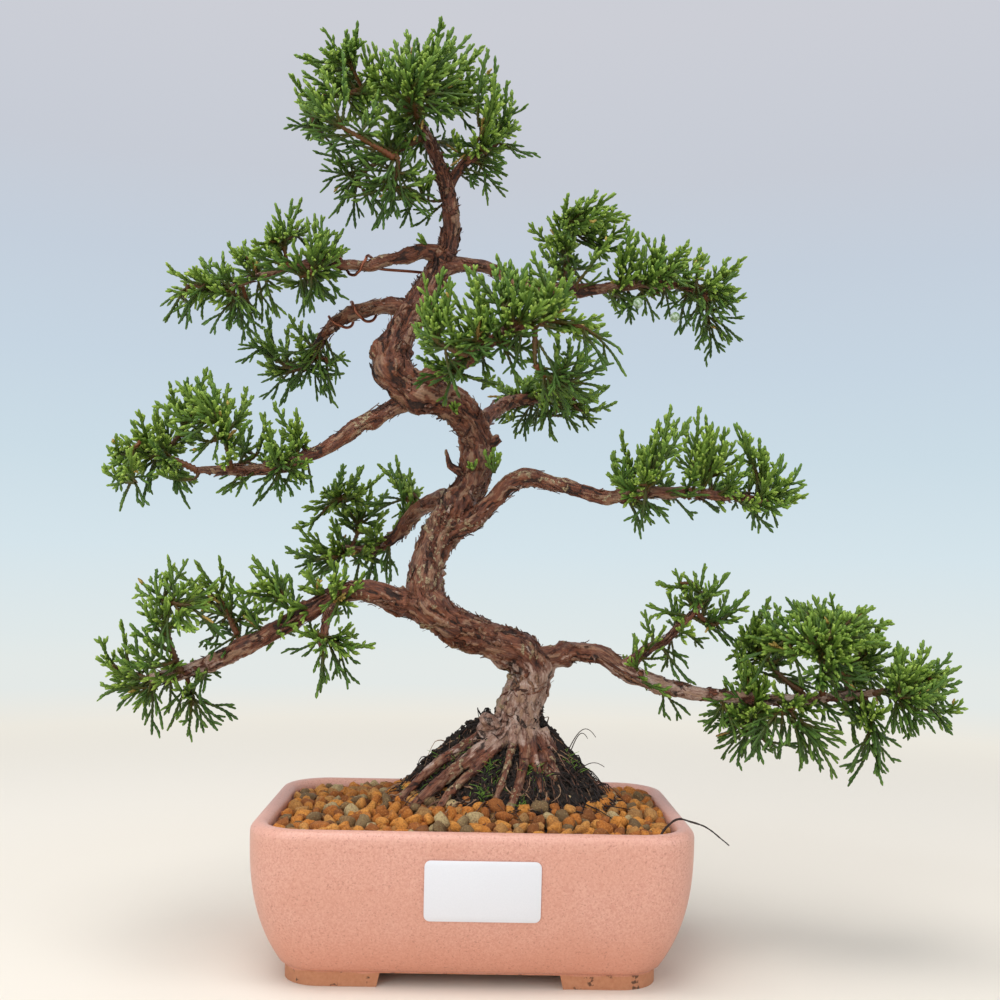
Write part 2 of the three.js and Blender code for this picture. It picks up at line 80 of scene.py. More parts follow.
# Routes of the wood: x, y, height above the rim, radius.
TRUNK = [
    (14, 6, -7, 12), (14, 6, 9, 10.5), (16, 4, 33, 8.5), (20, 3, 45, 7.8), (17, 1, 55, 7),
    (5, 0, 60, 6.5), (-10, -3, 66, 6.6), (-19, -3, 75, 6.6), (-18, -1, 89, 6.4),
    (-11, 2, 104, 6.7), (-3, 5, 119, 6), (-2, 3, 134, 5.8), (-10, -2, 146, 6.4),
    (-25, -6, 151, 6.6), (-33, -5, 160, 6.5), (-30, -1, 174, 5.8), (-20, 4, 193, 4.9),
    (-14, 6, 208, 3.8), (-14, 2, 224, 3), (-20, -1, 241, 2.2), (-27, -2, 255, 1.4),
]
ROOTS = [
    [(11, 2, 26, 4.4), (-2, -7, 17, 3.5), (-14, -13, 8, 2.9), (-27, -18, -4, 2.1)],
    [(17, 0, 28, 3.6), (18, -9, 19, 2.5), (16, -16, 10, 2.2), (12, -22, 1, 1.9), (10, -25, -4, 1.6)],
    [(20, 2, 28, 4.4), (25, -3, 18, 4.2), (27, -6, 7, 3.6), (30, -9, -4, 2.6)],
    [(20, 6, 26, 5), (31, 5, 12, 4), (41, 3, -4, 2.8)],
    [(18, 10, 24, 5), (28, 18, 10, 4), (36, 25, -4, 2.8)],
    [(12, 10, 26, 5), (6, 20, 12, 4.2), (0, 28, -4, 3)],
    [(10, 8, 24, 5), (-6, 12, 12, 4), (-20, 15, -4, 2.8)],
]
MOSSY_RIDGES = [
    [(5, 7, 33, 0), (-8, 6, 23, 0), (-21, 4, 11, 0), (-31, 1, -2, 0)],
    [(24, 6, 31, 0), (28, 5, 22, 0), (32, 4, 12, 0), (38, 2, 0, 0), (44, 1, -5, 0)],
]
FINE_ROOTS = [
    [(10, 4, 28, 3.0), (-5, -1, 20, 2.1), (-17, -6, 12, 1.7), (-31, -10, -3, 1.2)],
    [(11, -2, 24, 2.4), (0, -11, 14, 1.6), (-9, -17, 6, 1.3), (-17, -23, -5, 1.0)],
    [(15, -3, 28, 2.2), (12, -12, 17, 1.3), (9, -18, 8, 1.1), (4, -23, -3, 0.9)],
    [(20, -3, 27, 2.2), (23, -13, 13, 1.3), (27, -20, -3, 0.9)],
    [(24, 1, 27, 3.0), (33, -2, 12, 2.2), (43, -6, -4, 1.4)],
    [(6, 9, 27, 3.0), (-10, 8, 14, 2.2), (-24, 6, -3, 1.5)],
]
STUBS = [
    [(-4, 4, 120, 2.4), (-11, 2, 124, 1.4), (-13, 1, 130, 0.6)],
    [(-2, 4, 128, 2.8), (7, 2, 135, 2.0)],
    [(9, 2, 27, 3.4), (3, -4, 32, 2.2)],
]
BRANCHES = {
    "branch_lower_right": [
        (18, 2, 51, 5), (28, 1, 54, 4.3), (38, -1, 56, 4), (46, -4, 55, 3.9), (56, -7, 49, 3.5),
        (72, -10, 44, 3.2), (92, -12, 42, 2.4), (115, -12, 41, 2), (144, -12, 44, 1.3),
    ],
    "branch_lower_right_riser": [(54, -6, 51, 2.4), (63, -5, 58, 2), (71, -5, 63, 1.7), (84, -6, 77, 1.1)],
    "branch_mid_right": [
        (-13, 0, 99, 4.5), (-3, -4, 103, 4.2), (6, -7, 112, 3.7), (16, -10, 119, 3.6),
        (28, -12, 117, 3.1), (45, -12, 113, 2.5), (67, -12, 115, 2.4), (107, -12, 113, 1.5),
    ],
    "branch_upper_right": [
        (-17, 5, 199, 3.6), (-8, 6, 201, 2.9), (2, 9, 200, 2.7), (16, 11, 195, 2.5),
        (40, 12, 194, 2.3), (66, 12, 197, 1.8), (86, 13, 194, 1.1),
    ],
    "branch_lower_left": [
        (-14, -3, 69, 5), (-25, -6, 72, 5), (-33, -9, 75, 5), (-42, -10, 77, 4.2), (-52, -10, 75, 3.9),
        (-68, -10, 65, 3.5), (-90, -10, 53, 3.1), (-106, -10, 46, 2.7), (-117, -10, 44, 2.2),
    ],
    "branch_lower_left_spur": [(-51, -10, 75, 2.2), (-54, -14, 66, 1.6), (-55, -15, 55, 1.1)],
    "branch_mid_left": [
        (-24, -5, 150, 4.5), (-32, -5, 145, 3.6), (-45, -7, 137, 3), (-60, -8, 127, 2.7),
        (-76, -10, 121, 2.4), (-102, -10, 119, 1.4),
    ],
    "branch_back_left": [
        (-8, 4, 110, 4.2), (-14, 14, 112, 3.8), (-24, 26, 108, 3.5), (-33, 35, 98, 2.8),
        (-45, 40, 92, 2), (-56, 43, 93, 1.5),
    ],
    "branch_upper_left": [
        (-16, 6, 204, 3.4), (-24, 3, 205, 3), (-33, -1, 201, 2.3), (-46, -4, 197, 2.1),
        (-64, -6, 197, 1.8), (-84, -6, 191, 1.3), (-98, -6, 186, 1),
    ],
    "branch_second_left": [
        (-26, 2, 181, 3.4), (-33, 2, 184, 3.3), (-44, 7, 183, 3.1), (-54, 11, 180, 2.7),
        (-62, 17, 173, 2.2), (-69, 22, 162, 1.5),
    ],
    "branch_front": [
        (-25, -6, 153, 4), (-15, -15, 156, 3.2), (-4, -28, 160, 2.7), (4, -44, 164, 2.2), (14, -54, 168, 1.5),
    ],
    "branch_back": [(-3, 3, 137, 4), (3, 16, 145, 3.1), (14, 32, 153, 2.5), (38, 48, 157, 1.6)],
    "branch_apex_right": [(-15, 3, 229, 2.2), (-8, 1, 239, 1.7), (4, 0, 247, 1.2)],
}

# Which wood carries each foliage pad, and how far apart its sprays stand.
PADS = {
    "foliage_lower_right": (["branch_lower_right"], 5.2),
    "foliage_lower_right_riser": (["branch_lower_right_riser", "branch_lower_right"], 8.8),
    "foliage_mid_right": (["branch_mid_right"], 6.8),
    "foliage_upper_right": (["branch_upper_right"], 6.5),
    "foliage_lower_left": (["branch_lower_left"], 7.3),
    "foliage_lower_left_spur": (["branch_lower_left_spur", "branch_lower_left"], 8.0),
    "foliage_mid_left": (["branch_mid_left"], 6.8),
    "foliage_back_left": (["branch_back_left"], 6.6),
    "foliage_upper_left": (["branch_upper_left"], 6.8),
    "foliage_second_left": (["branch_second_left"], 7.0),
    "foliage_front": (["branch_front"], 5.6),
    "foliage_back": (["branch_back"], 7.0),
    "foliage_apex_left": (["trunk"], 6.3),
    "foliage_apex_right": (["branch_apex_right", "trunk"], 6.3),
}

# Pads with looser sprays, that light shows through.
OPEN_PADS = {
    "foliage_lower_right_riser", "foliage_lower_left", "foliage_lower_left_spur", "foliage_upper_left",
}

# Foliage with more triangles than this is split into several pieces.
MAX_PIECE_TRIANGLES = 190000


# ------------------------------------------------------------------ settings

def srgb(red, green, blue):
    """A colour as it is seen, 0 to 255, in the linear numbers that shaders take."""
    def linear(value):
        value = value / 255
        return value / 12.92 if value <= 0.04045 else ((value + 0.055) / 1.055) ** 2.4
    return (linear(red), linear(green), linear(blue), 1.0)


def length(name, description, millimetres):
    """A length that a user can set, with its default in millimetres."""
    return bpy.props.FloatProperty(
        name=name, description=description, default=millimetres * MM, min=0, precision=4, unit="LENGTH")


def colour(name, description, red, green, blue):
    """A colour that a user can set, with its default as it is seen, from 0 to 255."""
    seen = srgb(red, green, blue)[:3]
    return bpy.props.FloatVectorProperty(
        name=name, description=description, default=seen, size=3, min=0, max=1, subtype="COLOR")


class PotSettings(bpy.types.PropertyGroup):
    """The pot's sizes and the two tones of its glaze."""

    corner_radius: length("Corner radius", "Radius of the rim's outline at its corners", 19)
    wall: length("Wall", "Thickness of the pot's wall", 5.8)
    floor: length("Floor", "Thickness of the pot's floor", 6)
    belly: length("Belly", "How far the wall draws in from the rim to the feet", 11)
    lip: length("Lip", "Radius of the rounded lip", 2.9)
    foot_height: length("Foot height", "Height of the corner feet", 4.5)
    foot_inset: length("Foot inset", "How far the feet stand in from the rim's outline", 12)
    foot_width: length("Foot width", "Width of each foot's ridge", 12)
    foot_length: length("Foot length", "How far each foot runs along the pot", 33)
    drain_radius: length("Drain radius", "Radius of the two drain holes", 7)
    drain_reach: length("Drain reach", "Distance of each drain hole from the middle", 38)
    glaze_deep: colour("Deep glaze", "Tone of the glaze where it is thick", 209, 149, 130)
    glaze_pale: colour("Pale glaze", "Tone of the glaze where it is thin", 222, 167, 147)


class SoilSettings(bpy.types.PropertyGroup):
    """The granules and the old root ball."""

    below_rim: length("Below the rim", "How far the granules lie below the rim at the wall", 4)
    mound: length("Mound", "How much higher the granules lie round the trunk", 14)
    granule_least: length("Smallest granule", "Radius of the smallest granules on top", 1.4)
    granule_most: length("Largest granule", "Radius of the largest granules on top", 3.7)
    granule_colour: colour("Granules", "Main colour of the granules", 200, 120, 44)
    damp_colour: colour("Damp soil", "Darkest colour of the old root ball", 20, 16, 14)


class WoodSettings(bpy.types.PropertyGroup):
    """The trunk, the branches and their bark."""

    fineness: length("Fineness", "Grid size at which the trunk's parts are fused", 0.57)
    root_girth: bpy.props.FloatProperty(
        name="Root girth", description="Share of their full girth that the main surface roots have",
        default=0.74, min=0.3, max=1.2, subtype="FACTOR")
    bark_dark: colour("Dark bark", "Bark in its cracks", 40, 20, 13)
    bark_red: colour("Red bark", "Bark on most of the limbs", 128, 72, 45)
    # Pale bark near the soil: silvery worn bark, brightened as a painted sheen.
    bark_pale_and_sheen: colour("Pale bark", "Worn bark near the soil", 214, 190, 176)


class FoliageSettings(bpy.types.PropertyGroup):
    """The cords of scale leaves."""

    cord_radius: length("Cord radius", "Radius of the cords on top of the pads", 0.62)
    ring_spacing: length("Ring spacing", "Length of cord between two rings of leaf tips", 0.85)
    leaf_colour: colour("Leaves", "Grown leaves", 92, 120, 38)
    # The tips' colour: young leaves, partly a painted highlight.
    tip_colour: colour("Tips", "Young leaves at the tips", 164, 186, 82)


SETTINGS = {
    "bonsai_pot": PotSettings,
    "bonsai_soil": SoilSettings,
    "bonsai_wood": WoodSettings,
    "bonsai_foliage": FoliageSettings,
}


class Lengths:
    """Reads a group's lengths from the scene, in millimetres."""

    def __init__(self, group):
        self.group = group

    def __getattr__(self, name):
        return getattr(getattr(bpy.context.scene, self.group), name) / MM


POT = Lengths("bonsai_pot")
SOIL = Lengths("bonsai_soil")
WOOD = Lengths("bonsai_wood")
FOLIAGE = Lengths("bonsai_foliage")


def chosen_colour(group, name):
    """A colour from the settings, with its alpha, as shaders take it."""
    return (*getattr(getattr(bpy.context.scene, group), name), 1.0)


# ------------------------------------------------------------------ numbers and curves

def in_frame(points):
    """Millimetres about the rim's middle, as metres in the frame."""
    return np.asarray(points, float) * MM + np.array(RIM_MIDDLE)


def out_of_frame(points):
    """Metres in the frame, as millimetres about the rim's middle."""
    return (np.asarray(points, float) - np.array(RIM_MIDDLE)) / MM


def smooth_step(low, high, x):
    """0 below low, 1 above high, and a smooth rise between them; or falling, if high is the lower."""
    t = np.clip((x - low) / (high - low), 0, 1)
    return t * t * (3 - 2 * t)


def noise(points, seed=0):
    """Smooth random numbers from -1 to 1 at the rows of an (n, 3) array."""
    cell = np.floor(points).astype(np.int64)
    part = points - cell
    part = part * part * (3 - 2 * part)

    def corner(dx, dy, dz):
        h = (cell[:, 0] + dx) * 374761393 + (cell[:, 1] + dy) * 668265263
        h = h + (cell[:, 2] + dz) * 2147483647 + seed * 1446651
        h = (h ^ (h >> 13)) * 1274126177
        h = h ^ (h >> 16)
        return (h & 0xFFFF) / 32767.5 - 1

    x, y, z = part[:, 0], part[:, 1], part[:, 2]
    low = [corner(0, j, k) * (1 - x) + corner(1, j, k) * x for j in (0, 1) for k in (0, 1)]
    near = low[0] * (1 - y) + low[2] * y
    far = low[1] * (1 - y) + low[3] * y
    return near * (1 - z) + far * z


def layered_noise(points, layers, seed=0):
    """Noise with finer and weaker layers added, from -1 to 1."""
    total = sum(noise(points * 2**i, seed + 17 * i) * 0.5**i for i in range(layers))
    return total / sum(0.5**i for i in range(layers))


def distances_along(points):
    """How far along a line each of its points lies."""
    steps = np.linalg.norm(np.diff(points, axis=0), axis=1)
    return np.concatenate([[0], np.cumsum(steps)])


def smooth_route(route, spacing):
    """Evenly spaced rows of x, y, z, radius on a smooth curve through a route's points."""
    points = np.array(route, float)
    ends = np.vstack([2 * points[0] - points[1], points, 2 * points[-1] - points[-2]])
    rows = []
    for a, b, c, d in zip(ends, ends[1:], ends[2:], ends[3:]):
        for t in np.linspace(0, 1, 16, endpoint=False):
            linear = (c - a) * t
            square = (2 * a - 5 * b + 4 * c - d) * t**2
            cube = (3 * b - a - 3 * c + d) * t**3
            rows.append(0.5 * (2 * b + linear + square + cube))
    rows = np.array([*rows, points[-1]])
    along = distances_along(rows[:, :3])
    count = max(int(along[-1] / spacing), 3)
    wanted = np.linspace(0, along[-1], count)
    return np.stack([np.interp(wanted, along, rows[:, i]) for i in range(4)], axis=1)


def carried_frames(centres):
    """Tangents, sides and ups along a line of points, carried along it without twisting."""
    tangents = np.gradient(centres, axis=0)
    tangents /= np.linalg.norm(tangents, axis=1)[:, None]
    side = np.array([0.0, 1.0, 0.0])
    if abs(tangents[0] @ side) > 0.9:
        side = np.array([1.0, 0.0, 0.0])
    sides = []
    for tangent in tangents:
        side = side - (side @ tangent) * tangent
        side = side / np.linalg.norm(side)
        sides.append(side)
    sides = np.array(sides)
    return tangents, sides, np.cross(tangents, sides)


def ring_directions(across, up, angles):
    """Unit directions out from each row of a line, at angles about it."""
    return across[:, None] * np.cos(angles)[None, :, None] + up[:, None] * np.sin(angles)[None, :, None]


def full_turn(count):
    """Angles that divide a turn evenly."""
    return np.linspace(0, 2 * math.pi, count, endpoint=False)


# ------------------------------------------------------------------ meshes

def deselect_all():
    """Object mode, with nothing selected."""
    if bpy.context.mode != "OBJECT":
        bpy.ops.object.mode_set(mode="OBJECT")
    bpy.ops.object.select_all(action="DESELECT")


def activate(piece):
    """Makes a piece the only one selected, and the active one."""
    deselect_all()
    piece.select_set(True)
    bpy.context.view_layer.objects.active = piece


def apply_modifier(piece, kind, **settings):
    activate(piece)
    modifier = piece.modifiers.new(kind.title(), kind)
    for name, value in settings.items():
        setattr(modifier, name, value)
    bpy.ops.object.modifier_apply(modifier=modifier.name)


def mesh_piece(name, points, quads, triangles, attributes=None):
    """A mesh object from arrays of points in the frame, quads and triangles, with point attributes."""
    mesh = bpy.data.meshes.new(name)
    quads = np.asarray(quads, np.int64).reshape(-1, 4)
    triangles = np.asarray(triangles, np.int64).reshape(-1, 3)
    mesh.vertices.add(len(points))
    mesh.vertices.foreach_set("co", np.asarray(points, np.float32).ravel())
    corners = np.concatenate([quads.ravel(), triangles.ravel()])
    totals = np.concatenate([np.full(len(quads), 4), np.full(len(triangles), 3)])
    starts = np.concatenate([[0], np.cumsum(totals)[:-1]])
    mesh.loops.add(len(corners))
    mesh.loops.foreach_set("vertex_index", corners.astype(np.int32))
    mesh.polygons.add(len(totals))
    mesh.polygons.foreach_set("loop_start", starts.astype(np.int32))
    mesh.polygons.foreach_set("use_smooth", np.full(len(totals), True))
    for key, values in (attributes or {}).items():
        set_point_colours(mesh, key, values)
    mesh.update(calc_edges=True)
    mesh.validate()
    piece = bpy.data.objects.new(name, mesh)
    bpy.context.scene.collection.objects.link(piece)
    return piece


def joined(name, parts, key):
    """One mesh of parts, each of points, quads, triangles and the values that go in attribute key."""
    starts = np.cumsum([0] + [len(part[0]) for part in parts])
    points, values = (np.vstack([part[i] for part in parts]) for i in (0, 3))
    quads, triangles = (np.vstack([part[i] + start for part, start in zip(parts, starts)]) for i in (1, 2))
    return mesh_piece(name, in_frame(points), quads, triangles, {key: values})


def ring_faces(rings, sides):
    """Quads of a tube of rings, and the triangles of its two end fans about two further points."""
    ring, side = np.meshgrid(np.arange(rings - 1), np.arange(sides), indexing="ij")
    after = (side + 1) % sides
    a, b = ring * sides + side, ring * sides + after
    quads = np.stack([a, b, b + sides, a + sides], axis=-1).reshape(-1, 4)
    i = np.arange(sides)
    j = (i + 1) % sides
    start, end = rings * sides, rings * sides + 1
    last = (rings - 1) * sides
    fans = np.concatenate([
        np.stack([np.full(sides, start), j, i], axis=1),
        np.stack([np.full(sides, end), last + i, last + j], axis=1),
    ])
    return quads, fans


def give_material(piece, surface):
    """The surface as a piece's only material."""
    piece.data.materials.clear()
    piece.data.materials.append(surface.material)


def finish_piece(piece, slot, surface, *nodes):
    """Gives a piece its finish, and puts it on the frame in place of its CAD nodes."""
    give_material(piece, surface)
    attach(piece, "root")
    if nodes:
        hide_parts(*nodes)
    return piece


# ------------------------------------------------------------------ materials

def grey(level):
    """An even level as a colour, for a ramp that makes a number."""
    return (level, level, level, 1.0)


class Value:
    """A number that varies over a surface; expressions on it add Math nodes."""

    def __init__(self, surface, socket):
        self.surface = surface
        self.socket = socket

    def __add__(self, other):
        return self.surface.math("ADD", self, other)

    __radd__ = __add__

    def __sub__(self, other):
        return self.surface.math("SUBTRACT", self, other)

    def __rsub__(self, other):
        return self.surface.math("SUBTRACT", other, self)

    def __mul__(self, other):
        return self.surface.math("MULTIPLY", self, other)

    __rmul__ = __mul__


class Surface:
    """A material with its Principled shader, and short ways to add nodes to it."""

    def __init__(self, name, **constants):
        self.material = bpy.data.materials.new(name)
        self.material.use_nodes = True
        self.tree = self.material.node_tree
        self.shader = self.tree.nodes["Principled BSDF"]
        for key, value in constants.items():
            self.shader.inputs[key.replace("_", " ")].default_value = value

    def feed(self, socket, value):
        """Links a varying value to a socket, or sets the socket to a constant."""
        if isinstance(value, Value):
            self.tree.links.new(value.socket, socket)
        else:
            socket.default_value = value

    def node(self, kind, settings, sockets, output=0):
        """Adds a node, sets it up, then feeds its sockets. Returns one of its outputs."""
        made = self.tree.nodes.new(kind)
        for key, value in settings.items():
            if key == "stops":
                self.set_stops(made.color_ramp, value)
            else:
                setattr(made, key, value)
        for key, value in sockets.items():
            self.feed(made.inputs[key], value)
        return Value(self, made.outputs[output])

    @staticmethod
    def set_stops(ramp, stops):
        while len(ramp.elements) < len(stops):
            ramp.elements.new(0.5)
        for element, (position, colour) in zip(ramp.elements, stops):
            element.position = position
            element.color = colour

    def math(self, operation, *values):
        return self.node("ShaderNodeMath", {"operation": operation}, dict(enumerate(values)))

    def attribute(self, name, output="Color"):
        return self.node("ShaderNodeAttribute", {"attribute_name": name}, {}, output)

    def channels(self, colour):
        """The red, green and blue of a colour, as three numbers."""
        split = self.node("ShaderNodeSeparateColor", {}, {"Color": colour}).socket.node
        return [Value(self, split.outputs[i]) for i in range(3)]

    def place(self):
        """Places on the object, in metres."""
        return self.node("ShaderNodeTexCoord", {}, {}, "Object")

    def noise(self, vector, scale, detail=3.0, roughness=0.5):
        sockets = {"Vector": vector, "Scale": scale, "Detail": detail, "Roughness": roughness}
        return self.node("ShaderNodeTexNoise", {}, sockets, "Fac")

    def cells(self, vector, scale, output="Distance"):
        return self.node("ShaderNodeTexVoronoi", {}, {"Vector": vector, "Scale": scale}, output)

    def ramp(self, factor, *stops):
        return self.node("ShaderNodeValToRGB", {"stops": stops}, {"Fac": factor})

    def band(self, factor, low, high):
        """0 below low, 1 above high, and a smooth rise between them."""
        sockets = {"Value": factor, "From Min": low, "From Max": high}
        return self.node("ShaderNodeMapRange", {"interpolation_type": "SMOOTHSTEP"}, sockets)

    def mix(self, factor, first, second):
        settings = {"data_type": "RGBA", "clamp_factor": True}
        return self.node("ShaderNodeMix", settings, {0: factor, 6: first, 7: second}, 2)

    def stretched(self, vector, scale):
        return self.node("ShaderNodeVectorMath", {"operation": "MULTIPLY"}, {0: vector, 1: scale})

    def bump(self, height, distance, strength=1.0, under=None):
        """A bumped normal, laid over the one under it if there is one."""
        sockets = {"Height": height, "Distance": distance, "Strength": strength}
        if under is not None:
            sockets["Normal"] = under
        return self.node("ShaderNodeBump", {}, sockets)

    def finish(self, **inputs):
        for key, value in inputs.items():
            self.feed(self.shader.inputs[key.replace("_", " ")], value)
        return self


SURFACES = {}


def surface_of(maker):
    """Each finish is made once, the first time that a piece asks for it."""
    if maker.__name__ not in SURFACES:
        SURFACES[maker.__name__] = maker()
    return SURFACES[maker.__name__]


def pot_glaze():
    """Satin pink glaze, mottled and speckled, with a pale band painted on the lip as a highlight and painted
    shade towards the feet; bare clay under the feet.
    """
    s = Surface("pot_glaze", IOR=1.5)
    place = s.place()
    height = s.node("ShaderNodeSeparateXYZ", {}, {"Vector": place}, "Z")
    mottle = s.noise(place, 1300.0, 4.0, 0.65)
    cloud = s.noise(place, 45.0, 3.0, 0.55)
    specks = s.band(s.noise(place, 1500.0, 1.0, 0.4), 0.36, 0.30)
    deep, pale = chosen_colour("bonsai_pot", "glaze_deep"), chosen_colour("bonsai_pot", "glaze_pale")
    pink = s.mix(s.band(mottle, 0.38, 0.62), deep, pale)
    pink = s.mix(s.band(cloud, 0.35, 0.7) * 0.35, pink, srgb(210, 148, 124))
    rim = POT_HIGH.z
    # A paler band along the lip: a painted highlight.
    pink = s.mix(s.band(height, rim - 0.006, rim - 0.0015) * 0.12, pink, srgb(238, 192, 176))
    # Darker towards the bottom of the wall: painted shade.
    low = s.band(height, 0.026, 0.006)
    pink = s.mix(low * 0.45, pink, srgb(206, 132, 100))
    pink = s.mix(specks * 0.35, pink, srgb(150, 84, 66))
    edge = POT.foot_height * MM + 0.0006
    clay_line = s.band(height + (s.noise(place, 160.0, 2.0) - 0.5) * 0.002, edge, edge - 0.0008)
    clay = s.mix(s.noise(place, 700.0, 3.0, 0.6), srgb(176, 112, 78), srgb(206, 148, 112))
    stain = s.band(s.noise(place, 260.0, 3.0, 0.6), 0.60, 0.66)
    clay = s.mix(stain * 0.8, clay, srgb(52, 38, 30))
    grain = s.bump(mottle, 0.00012, 0.5)
    ripple = s.bump(cloud, 0.0006, 0.35, grain)
    return s.finish(
        Base_Color=s.mix(clay_line, pink, clay),
        Roughness=s.mix(clay_line, s.ramp(mottle, (0.3, grey(0.36)), (0.7, grey(0.5))), grey(0.9)),
        Normal=ripple,
    )


def bark():
    """Stringy red-brown bark: darkened in its cracks as painted shade, pale on its raised flakes, paler and
    silvery near the soil, partly as a painted sheen.
    """
    s = Surface("bark")
    grain = s.attribute("grain", "Vector")
    relief, pale, crust = s.channels(s.attribute("bark"))
    place = s.place()
    fibre = s.noise(s.stretched(grain, (1.0, 1.0, 0.12)), 2.2, 4.0, 0.65)
    blotch = s.noise(s.stretched(grain, (1.0, 1.0, 0.45)), 0.35, 3.0, 0.6)
    fine = s.noise(place, 1600.0, 3.0, 0.6)
    red = s.ramp(
        fibre * 0.6 + blotch * 0.5,
        (0.36, chosen_colour("bonsai_wood", "bark_dark")), (0.50, srgb(92, 47, 29)),
        (0.62, chosen_colour("bonsai_wood", "bark_red")), (0.76, srgb(158, 104, 72)),
    )
    # The pale silvery bark near the soil, made brighter than the bark is: partly a painted sheen.
    silver_and_sheen = s.ramp(
        fibre * 0.35 + fine * 0.2 + blotch * 0.45,
        (0.36, srgb(104, 66, 50)), (0.48, srgb(160, 124, 106)),
        (0.64, chosen_colour("bonsai_wood", "bark_pale_and_sheen")),
    )
    colour = s.mix(s.band(pale + (blotch - 0.5) * 1.8, 0.35, 0.62), red, silver_and_sheen)
    worn = s.band(relief + (fibre - 0.5) * 0.7 + (fine - 0.5) * 0.3, 0.66, 0.98)
    colour = s.mix(worn * 0.6, colour, srgb(166, 130, 100))
    # Darkened where the relief is low, in the cracks: painted shade.
    colour = s.mix(s.band(relief + (fine - 0.5) * 0.35, 0.46, 0.16) * 0.92, colour, srgb(30, 19, 15))
    lichen = s.ramp(fine, (0.35, srgb(96, 76, 52)), (0.55, srgb(156, 132, 98)), (0.72, srgb(204, 186, 150)))
    colour = s.mix(s.band(crust + (fine - 0.5) * 0.6, 0.45, 0.7), colour, lichen)
    strings = s.bump(fibre, 0.0006, 1.0)
    return s.finish(
        Base_Color=colour,
        Roughness=s.ramp(relief + (fibre - 0.5) * 0.4, (0.4, grey(0.8)), (0.66, grey(0.42))),
        Normal=s.bump(fine, 0.0003, 0.6, strings),
    )


def foliage():
    """Scale leaves: darker inside the pad and brighter to the tips, as older and younger leaves are, and
    partly painted shade inside the pad and a painted highlight at the tips; with a few dry and ochre sprays.
    """
    s = Surface("foliage", IOR=1.38)
    tip, tone, dry = s.channels(s.attribute("growth"))
    place = s.place()
    scales = s.noise(place, 1300.0, 2.0, 0.5)
    # Darker to the inside of the pad and brighter to the tips: leaf age, partly painted shade and a painted
    # highlight.
    age = tip + (scales - 0.5) * 0.42
    green = s.ramp(
        age,
        (0.0, srgb(112, 62, 34)), (0.13, srgb(92, 74, 28)), (0.34, srgb(62, 82, 24)),
        (0.60, chosen_colour("bonsai_foliage", "leaf_colour")), (0.82, srgb(126, 154, 54)),
        (1.0, chosen_colour("bonsai_foliage", "tip_colour")),
    )
    # Darker, cooler greens, given mostly to the sprays under the pads as painted shade, and at random to
    # others.
    cool = s.ramp(
        age,
        (0.0, srgb(96, 60, 34)), (0.13, srgb(74, 70, 26)), (0.4, srgb(56, 83, 29)),
        (0.7, srgb(80, 113, 40)), (1.0, srgb(126, 155, 60)),
    )
    colour = s.mix(s.band(tone, 0.25, 0.85), cool, green)
    colour = s.mix(dry, colour, s.ramp(scales, (0.35, srgb(142, 98, 48)), (0.6, srgb(196, 158, 84))))
    return s.finish(
        Base_Color=colour,
        Roughness=s.ramp(scales, (0.3, grey(0.42)), (0.7, grey(0.6))),
        Normal=s.bump(scales, 0.00025, 0.6),
    )


def soil_granules():
    """Fired-clay granules: orange, tan, brown, grey and olive ones, porous and matt, with painted shade in
    their pits and on the lower layer, and a painted highlight on their raised grain.
    """
    s = Surface("soil_granules")
    kind, shade, _ = s.channels(s.attribute("granule"))
    place = s.place()
    pores = s.noise(place, 1500.0, 4.0, 0.65)
    colour = s.ramp(
        kind,
        (0.0, srgb(100, 62, 32)), (0.16, srgb(160, 92, 38)),
        (0.34, chosen_colour("bonsai_soil", "granule_colour")), (0.54, srgb(220, 146, 62)),
        (0.72, srgb(196, 140, 76)), (0.86, srgb(120, 98, 66)), (1.0, srgb(216, 192, 140)),
    )
    # Darker in the pits of the pores: painted shade.
    colour = s.mix(s.band(pores, 0.54, 0.32) * 0.6, colour, srgb(112, 62, 26))
    # Paler and yellower on the raised grain: a painted highlight.
    colour = s.mix(s.band(pores, 0.54, 0.72) * 0.4, colour, srgb(240, 196, 124))
    # Darkened by the shade value: painted shade on the lower layer, and a random darkening.
    colour = s.mix(shade * 0.35, colour, srgb(84, 54, 28))
    return s.finish(Base_Color=colour, Roughness=0.92, Normal=s.bump(pores, 0.0006, 0.9))


def dark_soil():
    """Old damp soil bound by roots: nearly black, crumbly, with brown bits."""
    s = Surface("dark_soil")
    place = s.place()
    crumbs = s.noise(place, 700.0, 5.0, 0.7)
    damp = chosen_colour("bonsai_soil", "damp_colour")
    colour = s.ramp(crumbs, (0.35, damp), (0.55, srgb(44, 34, 27)), (0.72, srgb(92, 70, 50)))
    return s.finish(Base_Color=colour, Roughness=0.95, Normal=s.bump(crumbs, 0.0012, 1.0))


def fine_root():
    """Thin roots, from black to straw brown."""
    s = Surface("fine_root")
    tone, _, _ = s.channels(s.attribute("tone"))
    fine = s.noise(s.place(), 1200.0, 3.0, 0.6)
    colour = s.ramp(
        tone + (fine - 0.5) * 0.3,
        (0.0, srgb(24, 18, 15)), (0.45, srgb(66, 42, 32)),
        (0.75, srgb(124, 84, 62)), (1.0, srgb(184, 154, 120)),
    )
    return s.finish(Base_Color=colour, Roughness=0.8, Normal=s.bump(fine, 0.0002, 0.6))


def moss():
    """Short soft moss and grass blades."""
    s = Surface("moss")
    tip, tone, _ = s.channels(s.attribute("growth"))
    age = tip * 0.8 + tone * 0.25
    colour = s.ramp(age, (0.0, srgb(40, 52, 20)), (0.5, srgb(84, 120, 40)), (1.0, srgb(140, 178, 70)))
    return s.finish(Base_Color=colour, Roughness=0.7)


